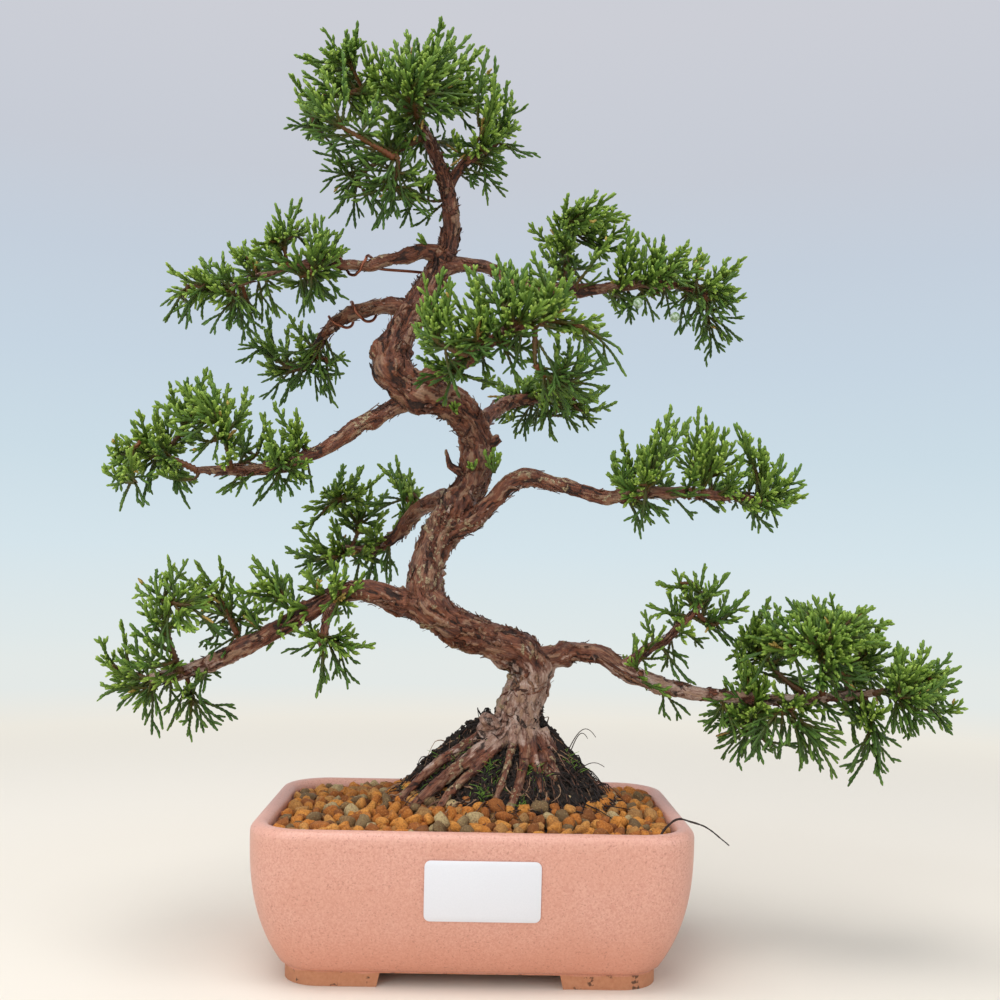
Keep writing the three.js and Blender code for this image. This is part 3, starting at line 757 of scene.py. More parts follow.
def label_paper():
    """Coated white label paper, with a faint tooth."""
    s = Surface("label_paper", Coat_Weight=0.15, Coat_Roughness=0.25)
    tooth = s.noise(s.place(), 2500.0, 2.0)
    colour = s.mix(tooth, srgb(222, 222, 226), srgb(230, 230, 234))
    return s.finish(Base_Color=colour, Roughness=0.45, Normal=s.bump(tooth, 0.00004, 0.4))


def berry_skin():
    """Pale green, with a grey bloom that is worn off in places."""
    s = Surface("berry_skin")
    bloom = s.noise(s.place(), 900.0, 3.0)
    colour = s.mix(s.band(bloom, 0.4, 0.62), srgb(120, 146, 96), srgb(190, 204, 186))
    return s.finish(Base_Color=colour, Roughness=0.6, Normal=s.bump(bloom, 0.00015, 0.5))


def anodised_wire():
    """Brown anodised training wire, scuffed."""
    s = Surface("anodised_wire", Metallic=1.0)
    scuff = s.noise(s.place(), 900.0, 3.0)
    colour = s.mix(scuff, srgb(120, 66, 48), srgb(168, 108, 84))
    return s.finish(Base_Color=colour, Roughness=s.ramp(scuff, (0.3, grey(0.3)), (0.7, grey(0.5))))


def clip_metal():
    """Soft drawn aluminium, dull."""
    s = Surface("clip_metal", Metallic=1.0)
    drawn = s.noise(s.place(), 1200.0, 2.0)
    return s.finish(Base_Color=s.mix(drawn, srgb(150, 152, 156), srgb(186, 188, 190)), Roughness=0.42)


def net_plastic():
    """Black moulded netting with dust on it."""
    s = Surface("net_plastic")
    dust = s.noise(s.place(), 600.0, 4.0)
    colour = s.mix(s.band(dust, 0.5, 0.75) * 0.5, srgb(28, 28, 29), srgb(120, 100, 80))
    return s.finish(Base_Color=colour, Roughness=0.6)


def pumice():
    """Coarse pale grit."""
    s = Surface("pumice")
    place = s.place()
    stones = s.cells(place, 260.0)
    tone = s.cells(place, 260.0, "Color")
    colour = s.mix(s.channels(tone)[0], srgb(150, 136, 116), srgb(206, 196, 178))
    # Darker towards the edges of each stone's cell: painted shade between the stones.
    colour = s.mix(s.band(stones, 0.35, 0.7) * 0.8, colour, srgb(60, 50, 40))
    return s.finish(Base_Color=colour, Roughness=0.95, Normal=s.bump(1.0 - stones, 0.002, 1.0))


# ------------------------------------------------------------------ the pot

def wall_inset(z):
    """How far in the pot's outer wall stands from the rim's outline, at a height above the table."""
    rise = min(max((z - POT.foot_height) / (POT_SIZE.z - POT.foot_height), 0.0), 1.0)
    return POT.belly * (1 - rise) ** BELLY_POWER


def select_in_edit_mode(piece, kind, chosen):
    """Selects the edges or the faces, as kind says, that a test picks."""
    bpy.ops.object.mode_set(mode="EDIT")
    bpy.ops.mesh.select_mode(type=kind)
    bpy.ops.mesh.select_all(action="DESELECT")
    mesh = bmesh.from_edit_mesh(piece.data)
    for element in mesh.edges if kind == "EDGE" else mesh.faces:
        element.select = chosen(element)
    mesh.select_flush_mode()
    bmesh.update_edit_mesh(piece.data)


def round_uprights(piece, radius, segments):
    """Rounds the upright edges of a block, and stays in edit mode."""
    def is_upright(edge):
        a, b = (v.co for v in edge.verts)
        return abs(a.z - b.z) > 0.1 * MM

    select_in_edit_mode(piece, "EDGE", is_upright)
    bpy.ops.mesh.bevel(offset=radius * MM, segments=segments, affect="EDGES")


def add_block(name, size, centre):
    """A box from a primitive, in millimetres about the pot's middle with heights above the table."""
    deselect_all()
    origin = Vector((RIM_MIDDLE.x, RIM_MIDDLE.y, 0)) + Vector(centre) * MM
    bpy.ops.mesh.primitive_cube_add(size=1, location=origin, scale=[d * MM for d in size])
    piece = bpy.context.object
    piece.name = name
    bpy.ops.object.transform_apply(location=True, rotation=True, scale=True)
    return piece


def raise_top(to_z, to_inset, state):
    """Extrudes the selected face to a height, and resizes it to the outline at an inset."""
    z, inset = state
    middle = (RIM_MIDDLE.x, RIM_MIDDLE.y, to_z * MM)
    bpy.ops.mesh.extrude_region_move(TRANSFORM_OT_translate={"value": (0, 0, (to_z - z) * MM)})
    factors = [(side - 2 * to_inset) / (side - 2 * inset) for side in (POT_SIZE.x, POT_SIZE.y)]
    bpy.ops.transform.resize(value=(*factors, 1), center_override=middle)
    return to_z, to_inset


def pot_body():
    """A rounded slab, drawn up row by row to the lip and down inside it."""
    base = POT.belly + 1.6
    slab = 0.4
    size = (POT_SIZE.x - 2 * base, POT_SIZE.y - 2 * base, slab)
    piece = add_block("pot_body", size, (0, 0, POT.foot_height + slab / 2))
    activate(piece)
    round_uprights(piece, POT.corner_radius - 5, 14)
    top = (POT.foot_height + slab) * MM

    def is_top(face):
        return face.normal.z > 0.9 and face.calc_center_median().z > top - 1e-6

    select_in_edit_mode(piece, "FACE", is_top)
    state = (POT.foot_height + slab, base)
    shoulder = POT_SIZE.z - POT.lip
    outer = [POT.foot_height + 0.8, *np.linspace(POT.foot_height + 1.6, shoulder, 22)]
    for z in outer:
        edge_rounding = 0.5 if z < POT.foot_height + 1 else 0.0
        state = raise_top(z, wall_inset(z) + edge_rounding, state)
    for turn in np.linspace(0, math.pi, 11)[1:]:
        height, inset = shoulder + POT.lip * math.sin(turn), POT.lip - POT.lip * math.cos(turn)
        state = raise_top(height, inset, state)
    inner_low = POT.foot_height + POT.floor + POT.corner_radius / 3
    for z in np.linspace(shoulder, inner_low, 9)[1:]:
        state = raise_top(z, wall_inset(z) + POT.wall, state)
    floor = POT.foot_height + POT.floor
    state = raise_top(floor + 1.2, wall_inset(floor) + POT.wall + 1.5, state)
    raise_top(floor, POT.belly + POT.wall + 4, state)
    bpy.ops.object.mode_set(mode="OBJECT")
    return piece


def pot_feet():
    """Four corner feet: a rounded block, hollowed in the middle and cut through between the feet."""
    tall = POT.foot_height + 1
    across = [side - 2 * POT.foot_inset for side in (POT_SIZE.x, POT_SIZE.y)]
    foot = add_block("pot_feet", (*across, tall), (0, 0, tall / 2))
    round_uprights(foot, POT.corner_radius - 6, 12)
    bpy.ops.object.mode_set(mode="OBJECT")
    between = [side - 2 * (POT.foot_inset + POT.foot_length) for side in (POT_SIZE.x, POT_SIZE.y)]
    between[1] = max(between[1], POT.foot_width)
    hollow = [side - 2 * (POT.foot_inset + POT.foot_width) for side in (POT_SIZE.x, POT_SIZE.y)]
    for sizes in ((*hollow, 0), (between[0], POT_SIZE.y, 2), (POT_SIZE.x, between[1], 2)):
        cutter = add_block("foot_cutter", (sizes[0], sizes[1], POT.foot_height * 2), (0, 0, 0))
        flare = 1 + 2 * sizes[2] / min(sizes[0], sizes[1])
        for vertex in cutter.data.vertices:
            if vertex.co.z < 0:
                vertex.co.x = RIM_MIDDLE.x + (vertex.co.x - RIM_MIDDLE.x) * flare
                vertex.co.y = RIM_MIDDLE.y + (vertex.co.y - RIM_MIDDLE.y) * flare
        combine(foot, cutter, "DIFFERENCE")
    return foot


def combine(piece, other, operation):
    """Cuts another object from a piece, or fuses it with the piece, and removes the other."""
    apply_modifier(piece, "BOOLEAN", object=other, operation=operation, solver="EXACT")
    bpy.data.objects.remove(other)


def model_pot():
    """The pot: its body with the feet fused on, drilled, and its edges softened."""
    piece = pot_body()
    combine(piece, pot_feet(), "UNION")
    floor = POT.foot_height + POT.floor
    for x in (-POT.drain_reach, POT.drain_reach):
        deselect_all()
        at = Vector((RIM_MIDDLE.x + x * MM, RIM_MIDDLE.y, floor * MM))
        radius, depth = POT.drain_radius * MM, 4 * POT.floor * MM
        bpy.ops.mesh.primitive_cylinder_add(vertices=48, radius=radius, depth=depth, location=at)
        combine(piece, bpy.context.object, "DIFFERENCE")
    sharp = math.radians(48)
    apply_modifier(piece, "BEVEL", width=0.7 * MM, segments=3, limit_method="ANGLE", angle_limit=sharp)
    activate(piece)
    bpy.ops.object.shade_smooth_by_angle(angle=math.radians(35))
    finish_piece(piece, "pot_glaze", surface_of(pot_glaze), "pot")


def model_label():
    """A blank label: a rounded sheet cut into strips, laid against the pot's wall and given its thickness."""
    low, high = map(out_of_frame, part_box("label"))
    deselect_all()
    middle = in_frame(((low[0] + high[0]) / 2, low[1], (low[2] + high[2]) / 2))
    bpy.ops.mesh.primitive_plane_add(size=1, location=middle, rotation=(math.pi / 2, 0, 0))
    piece = bpy.context.object
    piece.name = "label_sheet"
    piece.scale = ((high[0] - low[0]) * MM, (high[2] - low[2]) * MM, 1)
    bpy.ops.object.transform_apply(location=True, rotation=True, scale=True)
    bpy.ops.object.mode_set(mode="EDIT")
    bpy.ops.mesh.select_all(action="SELECT")
    bpy.ops.mesh.bevel(offset=2 * MM, segments=6, affect="VERTICES")
    bottom, top = (RIM_MIDDLE.z + z * MM for z in (low[2], high[2]))
    for z in np.linspace(bottom, top, 24)[1:-1]:
        bpy.ops.mesh.select_all(action="SELECT")
        bpy.ops.mesh.bisect(plane_co=(0, 0, z), plane_no=(0, 0, 1))
    bpy.ops.object.mode_set(mode="OBJECT")
    face = RIM_MIDDLE.y - POT_SIZE.y * MM / 2
    clear = 0.35
    for vertex in piece.data.vertices:
        vertex.co.y = face + (wall_inset(vertex.co.z / MM) - clear) * MM
    apply_modifier(piece, "SOLIDIFY", thickness=0.3 * MM, offset=1)
    apply_modifier(piece, "BEVEL", width=0.06 * MM, segments=2, limit_method="ANGLE", angle_limit=1.0)
    activate(piece)
    bpy.ops.mesh.customdata_custom_splitnormals_clear()
    bpy.ops.object.mode_set(mode="EDIT")
    bpy.ops.mesh.select_all(action="SELECT")
    bpy.ops.mesh.normals_make_consistent(inside=False)
    bpy.ops.object.mode_set(mode="OBJECT")
    bpy.ops.object.shade_smooth_by_angle(angle=math.radians(30))
    finish_piece(piece, "label", surface_of(label_paper), "label")


# ------------------------------------------------------------------ soil and roots

def soil_height(x, y):
    """The top of the granules, which rises towards the trunk."""
    dx = (x - SOIL_CENTRE[0]) / SOIL_SPREAD[0]
    dy = (y - SOIL_CENTRE[1]) / SOIL_SPREAD[1]
    return SOIL.mound * np.exp(-(dx * dx + dy * dy)) - SOIL.below_rim


def inside_pot(x, y, margin):
    """Whether places are inside the pot's inner wall at the soil, by a margin."""
    inset = POT.wall + margin + 0.3
    radius = POT.corner_radius - inset
    over_x = np.maximum(np.abs(x) - (POT_SIZE.x / 2 - inset - radius), 0)
    over_y = np.maximum(np.abs(y) - (POT_SIZE.y / 2 - inset - radius), 0)
    return np.hypot(over_x, over_y) <= radius


def reach_to_wall(centre, angles, steps, margin):
    """In each direction from a centre, the last of the steps that is inside the pot by a margin."""
    reach = []
    for angle in angles:
        x, y = centre[0] + steps * math.cos(angle), centre[1] + steps * math.sin(angle)
        reach.append(steps[inside_pot(x, y, margin)].max())
    return np.array(reach)


# Rows along the surface roots and the mossy ridges, which carry the old soil between them.
SKIRT_ROWS = np.vstack([smooth_route(route, 2.0) for route in ROOTS + FINE_ROOTS])
RIDGE_ROWS = np.vstack([smooth_route(route, 2.0) for route in MOSSY_RIDGES])


def mound_height(x, y):
    """The old root ball's top: a cone at the trunk, and a skirt of dark soil below each surface root."""
    x, y = np.asarray(x, float), np.asarray(y, float)
    distance = np.hypot(x - ROOT_BALL_CENTRE[0], y - ROOT_BALL_CENTRE[1])
    cone = np.interp(distance, [7, 11, 17, 23, 29], [27, 17, 8, 1, -5])
    gap = np.hypot(x[..., None] - SKIRT_ROWS[:, 0], y[..., None] - SKIRT_ROWS[:, 1])
    skirts = (SKIRT_ROWS[:, 2] - 1.1 * SKIRT_ROWS[:, 3] - 1.2 * gap - 1.5).max(axis=-1)
    gap = np.hypot(x[..., None] - RIDGE_ROWS[:, 0], y[..., None] - RIDGE_ROWS[:, 1])
    ridges = (RIDGE_ROWS[:, 2] - 1.15 * gap).max(axis=-1)
    return np.maximum(cone, np.maximum(skirts, ridges))


def ground_height(x, y):
    """The top of the granules or of the old root ball, whichever is higher."""
    return np.maximum(soil_height(x, y), mound_height(x, y))


def pebble_shapes(rng, count, detail=2):
    """Closed, knobbly, slightly angular stones of radius about 1."""
    shapes = []
    for i in range(count):
        ball = bmesh.new()
        bmesh.ops.create_icosphere(ball, subdivisions=detail, radius=1)
        points = np.array([v.co for v in ball.verts])
        faces = np.array([[v.index for v in f.verts] for f in ball.faces])
        ball.free()
        for _ in range(8):
            normal = rng.normal(size=3)
            normal /= np.linalg.norm(normal)
            depth = rng.uniform(0.5, 0.85)
            over = np.maximum(points @ normal - depth, 0)
            points = points - over[:, None] * normal * 0.85
        bumps = noise(points * 1.7 + i * 7.1, 5) * 0.2 + noise(points * 4.1 + i * 3.3, 9) * 0.07
        points = points * (1 + bumps[:, None]) * rng.uniform(0.72, 1.3, 3)
        shapes.append((points, faces))
    return shapes


def scattered(name, shapes, rng, places, sizes, values, key):
    """One mesh of stones: each a turned copy of a shape, with its own attribute values."""
    no_quads = np.zeros((0, 4), int)
    parts = []
    for place, size, value in zip(places, sizes, values):
        shape, faces = shapes[rng.integers(len(shapes))]
        turn, _ = np.linalg.qr(rng.normal(size=(3, 3)))
        if np.linalg.det(turn) < 0:
            turn[:, 0] *= -1
        parts.append((shape @ turn.T * size + place, no_quads, faces, np.tile(value, (len(shape), 1))))
    return joined(name, parts, key)


def spread_places(rng, tries, sizes, accept):
    """Drops round things one by one on a plane where they don't overlap much."""
    kept, grid, cell = [], {}, 8.0
    for size in sizes:
        for _ in range(tries):
            x = rng.uniform(-POT_SIZE.x / 2, POT_SIZE.x / 2)
            y = rng.uniform(-POT_SIZE.y / 2, POT_SIZE.y / 2)
            if not accept(x, y, size):
                continue
            key = (int(x // cell), int(y // cell))
            near = [o for i in (-1, 0, 1) for j in (-1, 0, 1) for o in grid.get((key[0] + i, key[1] + j), [])]
            if all(math.hypot(x - a, y - b) > 0.82 * (size + s) for a, b, s in near):
                grid.setdefault(key, []).append((x, y, size))
                kept.append((x, y, size))
                break
    return kept


def model_soil_bed():
    """The closed body of soil that the granules lie on."""
    outer, rings = 64, 26
    depth, below_granules = 30.0, 2.4
    angles = full_turn(outer)
    reach = reach_to_wall((0, 0), angles, np.linspace(0, POT_SIZE.x, 600), 0.2)
    rows = []
    for share in np.linspace(1, 0.04, rings):
        x, y = reach * share * np.cos(angles), reach * share * np.sin(angles)
        rows.append(np.stack([x, y, soil_height(x, y) - below_granules], axis=1))
    top = np.vstack(rows)
    top[:, 2] += noise(top / 2.5, 3) * 0.7
    skirt = rows[0] * [0.8, 0.8, 1] - [0, 0, depth]
    under, over = skirt.mean(0), np.append(top.mean(0)[:2], top[-1, 2])
    points = np.vstack([skirt, top, under, over])
    quads, fans = ring_faces(rings + 1, outer)
    bed = mesh_piece("soil_bed", in_frame(points), quads, fans)
    finish_piece(bed, "soil_granules", surface_of(dark_soil), "soil")


def granule_rows(rng):
    """Rows of x, y, z, size and layer: two layers of granules, and a few small ones on the root ball."""
    half_x, half_y = int(POT_SIZE.x / 2) + 1, int(POT_SIZE.y / 2) + 1
    lines = (np.arange(-half, half + 1) for half in (half_x, half_y))
    grid_x, grid_y = np.meshgrid(*lines, indexing="ij")
    rise = mound_height(grid_x, grid_y) - soil_height(grid_x, grid_y)

    def on_soil(x, y, size):
        return inside_pot(x, y, size * 0.8) and rise[round(x) + half_x, round(y) + half_y] < size * 0.6

    top_layer = (1100, 0.15, SOIL.granule_least, SOIL.granule_most)
    under_layer = (1200, -1.2, 1.2, 2.6)
    layers = []
    for layer, (count, drop, low, high) in enumerate((top_layer, under_layer)):
        sizes = np.sort(low + (high - low) * rng.beta(1.5, 2.6, count))[::-1]
        kept = spread_places(rng, 30, sizes, on_soil)
        for x, y, size in kept:
            layers.append((x, y, float(soil_height(x, y)) + drop + rng.uniform(-0.5, 0.5), size, layer))
    for x, y in rng.uniform(-40, 40, (90, 2)) + ROOT_BALL_CENTRE:
        if inside_pot(x, y, 3) and 0 < rise[round(x) + half_x, round(y) + half_y] < 3:
            layers.append((x, y, float(ground_height(x, y)) + 0.3, rng.uniform(1.0, 1.9), 0))
    return layers


def model_granules():
    """The granules, from the front to the back of the pot, as two pieces."""
    rng = np.random.default_rng(11)
    shapes = pebble_shapes(rng, 14)
    layers = sorted(granule_rows(rng), key=lambda row: row[1])
    half = len(layers) // 2
    for name, rows in (("granules_front", layers[:half]), ("granules_back", layers[half:])):
        rows = np.array(rows)
        kind = np.clip(rng.beta(1.5, 2.0, len(rows)), 0, 1)
        kind[rng.random(len(rows)) < 0.05] = 0.95
        kind[rng.random(len(rows)) < 0.12] = 0.86
        # The lower layer is darkened: painted shade under the top layer; each granule also gets a random
        # darkening.
        shade = rng.random(len(rows)) ** 2 * 0.6 + 0.4 * (rows[:, 4] > 0)
        values = np.stack([kind, shade, np.zeros(len(rows))], axis=1)
        piece = scattered(name, shapes, rng, rows[:, :3], rows[:, 3], values, "granule")
        finish_piece(piece, "soil_granules", surface_of(soil_granules), "soil")


def tube_arrays(path, sides, values, roughness=0.0, seed=0):
    """Points, quads, triangles and values of a round tube along rows of x, y, z, radius."""
    centres, radii = path[:, :3], path[:, 3]
    _, across, up = carried_frames(centres)
    ring = ring_directions(across, up, full_turn(sides))
    points = (centres[:, None] + ring * radii[:, None, None]).reshape(-1, 3)
    if roughness:
        out = ring.reshape(-1, 3)
        points = points + out * (noise(points * 1.1, seed) * roughness)[:, None]
    points = np.vstack([points, centres[0], centres[-1]])
    quads, fans = ring_faces(len(path), sides)
    return points, quads, fans, np.tile(values, (len(points), 1))


def model_mound():
    """The dark mound round the trunk's foot."""
    sides, rings = 120, 60
    innermost = 5
    angles = full_turn(sides)
    cx, cy = ROOT_BALL_CENTRE
    reach = reach_to_wall(ROOT_BALL_CENTRE, angles, np.linspace(0, 48, 200), 2)
    rows = []
    for share in np.linspace(1, 0, rings):
        distance = innermost + (reach - innermost) * share
        x, y = cx + distance * np.cos(angles), cy + distance * np.sin(angles)
        rows.append(np.stack([x, y, mound_height(x, y)], axis=1))
    points = np.vstack(rows)
    points[:, 2] += layered_noise(points / 5, 3, 4) * 2.0 + noise(points / 1.3, 8) * 0.8
    points[:, 2] = np.maximum(points[:, 2], -9)
    under = np.array([[cx, cy, -20.0]])
    over = np.array([[cx, cy, points[-1, 2]]])
    quads, fans = ring_faces(rings, sides)
    piece = mesh_piece("old_root_ball", in_frame(np.vstack([points, under, over])), quads, fans)
    finish_piece(piece, "root_ball", surface_of(dark_soil), "root_ball")


def scatter_on_mound(rng, count):
    """Places on the mound, of which those that the granules cover are left out."""
    angle = rng.uniform(0, 2 * math.pi, count)
    distance = rng.uniform(8, 42, count)
    x = ROOT_BALL_CENTRE[0] + distance * np.cos(angle)
    y = ROOT_BALL_CENTRE[1] + distance * np.sin(angle)
    z = mound_height(x, y)
    seen = (z > soil_height(x, y) - 0.5) & inside_pot(x, y, 3)
    return x[seen], y[seen], z[seen]


def model_crumbs(rng):
    """Crumbs of soil on the mound, and some that cling to the trunk's sides above it."""
    x, y, z = scatter_on_mound(rng, 4200)
    sizes = rng.uniform(0.3, 1.25, len(x))
    z = z + rng.uniform(-0.4, 1.6, len(x))
    clinging = 340
    climb = rng.uniform(22, 46, clinging) ** 0.94
    on_right = rng.random(clinging) < 0.6
    edge = np.where(on_right, rng.normal(0.35, 0.45, clinging), rng.normal(2.7, 0.4, clinging))
    trunk_foot = ((14, 16, 20), (6, 4, 3), (9.5, 8.4, 7.9))
    foot = np.array([np.interp(climb, [9, 33, 45], column) for column in trunk_foot])
    out = foot[2] + rng.uniform(-0.3, 0.9, clinging) - 0.6 * (climb > 34)
    x = np.append(x, foot[0] + out * np.cos(edge))
    y = np.append(y, foot[1] + out * np.sin(edge))
    z = np.append(z, climb)
    sizes = np.append(sizes, rng.uniform(0.3, 1.1, clinging))
    shapes = pebble_shapes(rng, 6, 1)
    tones = rng.uniform(0, 1, (len(x), 3))
    places = np.stack([x, y, z], axis=1)
    crumbs = scattered("root_ball_crumbs", shapes, rng, places, sizes, tones, "tone")
    finish_piece(crumbs, "root_ball", surface_of(dark_soil), "root_ball")


def model_fine_roots(rng):
    """Thin roots that lie over the mound, and a few wiry ones that arch up from it."""
    cx, cy = ROOT_BALL_CENTRE
    tubes = []
    for x0, y0, _ in zip(*scatter_on_mound(rng, 1300)):
        turn = math.atan2(y0 - cy, x0 - cx) + rng.normal(0, 0.5)
        length = rng.uniform(4, 15)
        steps = np.linspace(0, 1, 9)
        curve = turn + rng.normal(0, 0.9) * steps
        x = x0 + length * steps * np.cos(curve)
        y = y0 + length * steps * np.sin(curve)
        keep = inside_pot(x, y, 1.5)
        if keep.sum() < 5:
            continue
        lift = rng.uniform(0.3, 1.6) * (1 if rng.random() < 0.85 else 2.5)
        z = ground_height(x, y) + lift * np.sin(steps * math.pi) + 0.5 + rng.normal(0, 0.2, 9)
        radius = rng.uniform(0.12, 0.45) * (1 - 0.6 * steps)
        tone = rng.choice([0.05, 0.3, 0.6, 0.85], p=[0.36, 0.3, 0.22, 0.12])
        path = np.stack([x, y, z, radius], axis=1)[keep]
        tubes.append(tube_arrays(path, 4, (tone, 0, 0)))
    wiry = (
        ((33, -2), (44, -6), 15), ((35, 2), (42, 4), 11),
        ((36, -6), (47, -9), 7), ((-14, -6), (-20, -5), 9),
    )
    for base, tip, height in wiry:
        steps = np.linspace(0, 1, 16)
        x = base[0] + (tip[0] - base[0]) * steps
        y = base[1] + (tip[1] - base[1]) * steps
        z = float(ground_height(*base)) + height * np.sin(steps * 2.3) * 0.75
        z = np.maximum(z, ground_height(x, y) + 0.2)
        tubes.append(tube_arrays(np.stack([x, y, z, 0.22 - 0.1 * steps], axis=1), 5, (0.2, 0, 0)))
    finish_piece(joined("fine_roots", tubes, "tone"), "root_strand", surface_of(fine_root))


def model_moss():
    """Tufts of moss and fine grass on the root ball and between the roots."""
    rng = np.random.default_rng(31)
    tubes = []
    tufts = [
        ((3, -17), 2.2, 45), ((5, -14), 4.5, 30), ((-8, -2), 4.5, 60), ((-16, -3), 4.0, 50),
        ((26, 22), 5, 90), ((36, -2), 3.0, 35), ((17, -20), 3, 25), ((22, -11), 3.2, 70),
        ((6, -9), 3.5, 40), ((-22, -6), 3.5, 40),
    ]
    for (cx, cy), spread, count in tufts:
        for _ in range(count):
            x, y = cx + rng.normal(0, spread / 2), cy + rng.normal(0, spread / 2)
            length = rng.uniform(1.0, 4.5)
            lean = rng.normal(0, 0.6, 2)
            steps = np.linspace(0, 1, 5)
            z0 = float(ground_height(x, y)) - 0.3
            path = np.stack([
                x + lean[0] * length * steps**1.6, y + lean[1] * length * steps**1.6 - 0.2 * length * steps,
                z0 + length * steps * (1 - 0.25 * steps), 0.26 * (1 - 0.8 * steps),
            ], axis=1)
            points, quads, fans, values = tube_arrays(path, 4, (0, rng.random(), 0))
            values[:, 0] = np.append(np.repeat(steps, 4), [0, 1])
            tubes.append((points, quads, fans, values))
    finish_piece(joined("moss_tufts", tubes, "growth"), "moss", surface_of(moss), "moss_tuft")


# ------------------------------------------------------------------ wood

def bark_relief(points, unrolled, radius):
    """How far the bark stands out, in mm, and its relief, paleness and crust, each from 0 to 1; the paleness
    near the soil is partly silvery bark and partly a painted sheen.

    points are places in the tree, and unrolled holds (r cos, r sin, distance along the limb).
    """
    thick = np.clip(radius / 6, 0.3, 1.2)
    slow = np.stack([noise(points / 4.2, 41 + k) for k in range(3)], axis=1) * np.array([0.9, 0.9, 3.0])
    quick = np.stack([noise(points / 1.2, 51 + k) for k in range(3)], axis=1) * np.array([0.35, 0.35, 0.9])
    bent = unrolled + slow + quick
    plates = smooth_step(-0.10, 0.05, layered_noise(bent / np.array([2.4, 2.4, 9.0]), 2, 1))
    slivers = smooth_step(0.0, 0.13, layered_noise(bent / np.array([1.3, 1.3, 4.4]) + 11, 2, 2))
    fibres = 1 - np.abs(noise(bent / np.array([0.8, 0.8, 5.0]), 3))
    crust_zone = smooth_step(0.15, 0.45, noise(points / 9 + 3.7, 6))
    grains = smooth_step(-0.1, 0.5, noise(points / 0.85, 7))
    gnarls = noise(points / 2.9, 15) * 0.36 + noise(points / 11, 12) * 0.09 * radius
    out = (0.78 * plates + 0.62 * slivers + 0.24 * fibres - 0.86) * thick + gnarls * np.clip(thick, 0.4, 1)
    out = out + 0.55 * crust_zone * grains * np.clip(thick, 0.4, 1)
    relief = np.clip(0.08 + 0.40 * plates + 0.36 * slivers + 0.18 * fibres, 0, 1)
    smooth = smooth_step(0.0, 0.35, noise(points / 7 + 1.3, 19))
    on_root = smooth_step(26, 18, points[:, 2])
    foot = smooth_step(54, 44, points[:, 2]) * smooth_step(-0.25, 0.2, noise(points / 8 + 5.1, 33))
    smooth = np.maximum(smooth * 0.8, np.maximum(on_root * 0.75, foot * 0.85))
    out = out * (1 - 0.72 * smooth)
    relief = relief * (1 - 0.72 * smooth) + 0.62 * smooth
    wave = np.abs(np.sin(unrolled[:, 2] * 0.42 + noise(points / 4, 23) * 4.5))
    joints = smooth_step(0.95, 0.995, wave) * on_root
    lumps = on_root * (noise(points / 3.2, 29) * 0.55 + 0.1) * np.clip(thick, 0.4, 1)
    out = out - joints * 0.45 * thick + lumps
    relief = relief * (1 - 0.7 * joints) - 0.3 * on_root * smooth_step(0.1, 0.5, noise(points / 3.5, 31))
    wavering = points[:, 2] + noise(points / 6, 27) * 9
    # Paler near the soil: silvery worn bark, partly a painted sheen.
    near_soil_silver_and_sheen = smooth_step(60, 44, points[:, 2]) * smooth_step(14, 27, wavering)
    pale = near_soil_silver_and_sheen * 0.76 + 0.12 * smooth_step(0.1, 0.5, noise(points / 16, 14))
    return out, np.stack([relief, np.clip(pale, 0, 1), crust_zone * grains], axis=1)


def sampled_routes(routes, spacing=0.8):
    """All routes as rows with their frames, and each row's distance along its own route."""
    parts = []
    for route in routes:
        path = smooth_route(route, spacing)
        tangents, sides, ups = carried_frames(path[:, :3])
        along = distances_along(path[:, :3])
        parts.append(np.hstack([path, tangents, sides, ups, along[:, None]]))
    return np.vstack(parts)


def unroll(points, rows):
    """For points on wood, (r cos, r sin, distance along) on the nearest limb, and that limb's radius."""
    near = []
    at_once = 4000
    for first in range(0, len(points), at_once):
        block = points[first:first + at_once]
        distance = np.linalg.norm(block[:, None] - rows[None, :, :3], axis=2)
        near.extend(np.argmin(distance - rows[None, :, 3], axis=1))
    row = rows[near]
    offset = points - row[:, :3]
    offset_along = np.sum(offset * row[:, 4:7], axis=1)
    a = np.sum(offset * row[:, 7:10], axis=1)
    b = np.sum(offset * row[:, 10:13], axis=1)
    length = np.maximum(np.hypot(a, b), 1e-6)
    radius = row[:, 3]
    along = row[:, 13] + offset_along
    twist = along * 0.012
    cos, sin = np.cos(twist), np.sin(twist)
    reach = radius / length
    unrolled = np.stack([(a * cos - b * sin) * reach, (a * sin + b * cos) * reach, along], axis=1)
    return unrolled, radius


def vertex_array(mesh, field="co"):
    """The positions or the normals of a mesh's vertices, as rows."""
    values = np.zeros(len(mesh.vertices) * 3, np.float32)
    mesh.vertices.foreach_get(field, values)
    return values.reshape(-1, 3).astype(float)


def move_vertices(mesh, points):
    mesh.vertices.foreach_set("co", points.astype(np.float32).ravel())


def set_point_colours(mesh, key, values):
    """Stores up to three values for each point as a colour attribute."""
    colour = np.ones((len(mesh.vertices), 4), np.float32)
    colour[:, : values.shape[1]] = values
    layer = mesh.attributes.new(key, "FLOAT_COLOR", "POINT")
    layer.data.foreach_set("color", colour.ravel())


def set_point_vectors(mesh, key, values):
    layer = mesh.attributes.new(key, "FLOAT_VECTOR", "POINT")
    layer.data.foreach_set("vector", values.astype(np.float32).ravel())


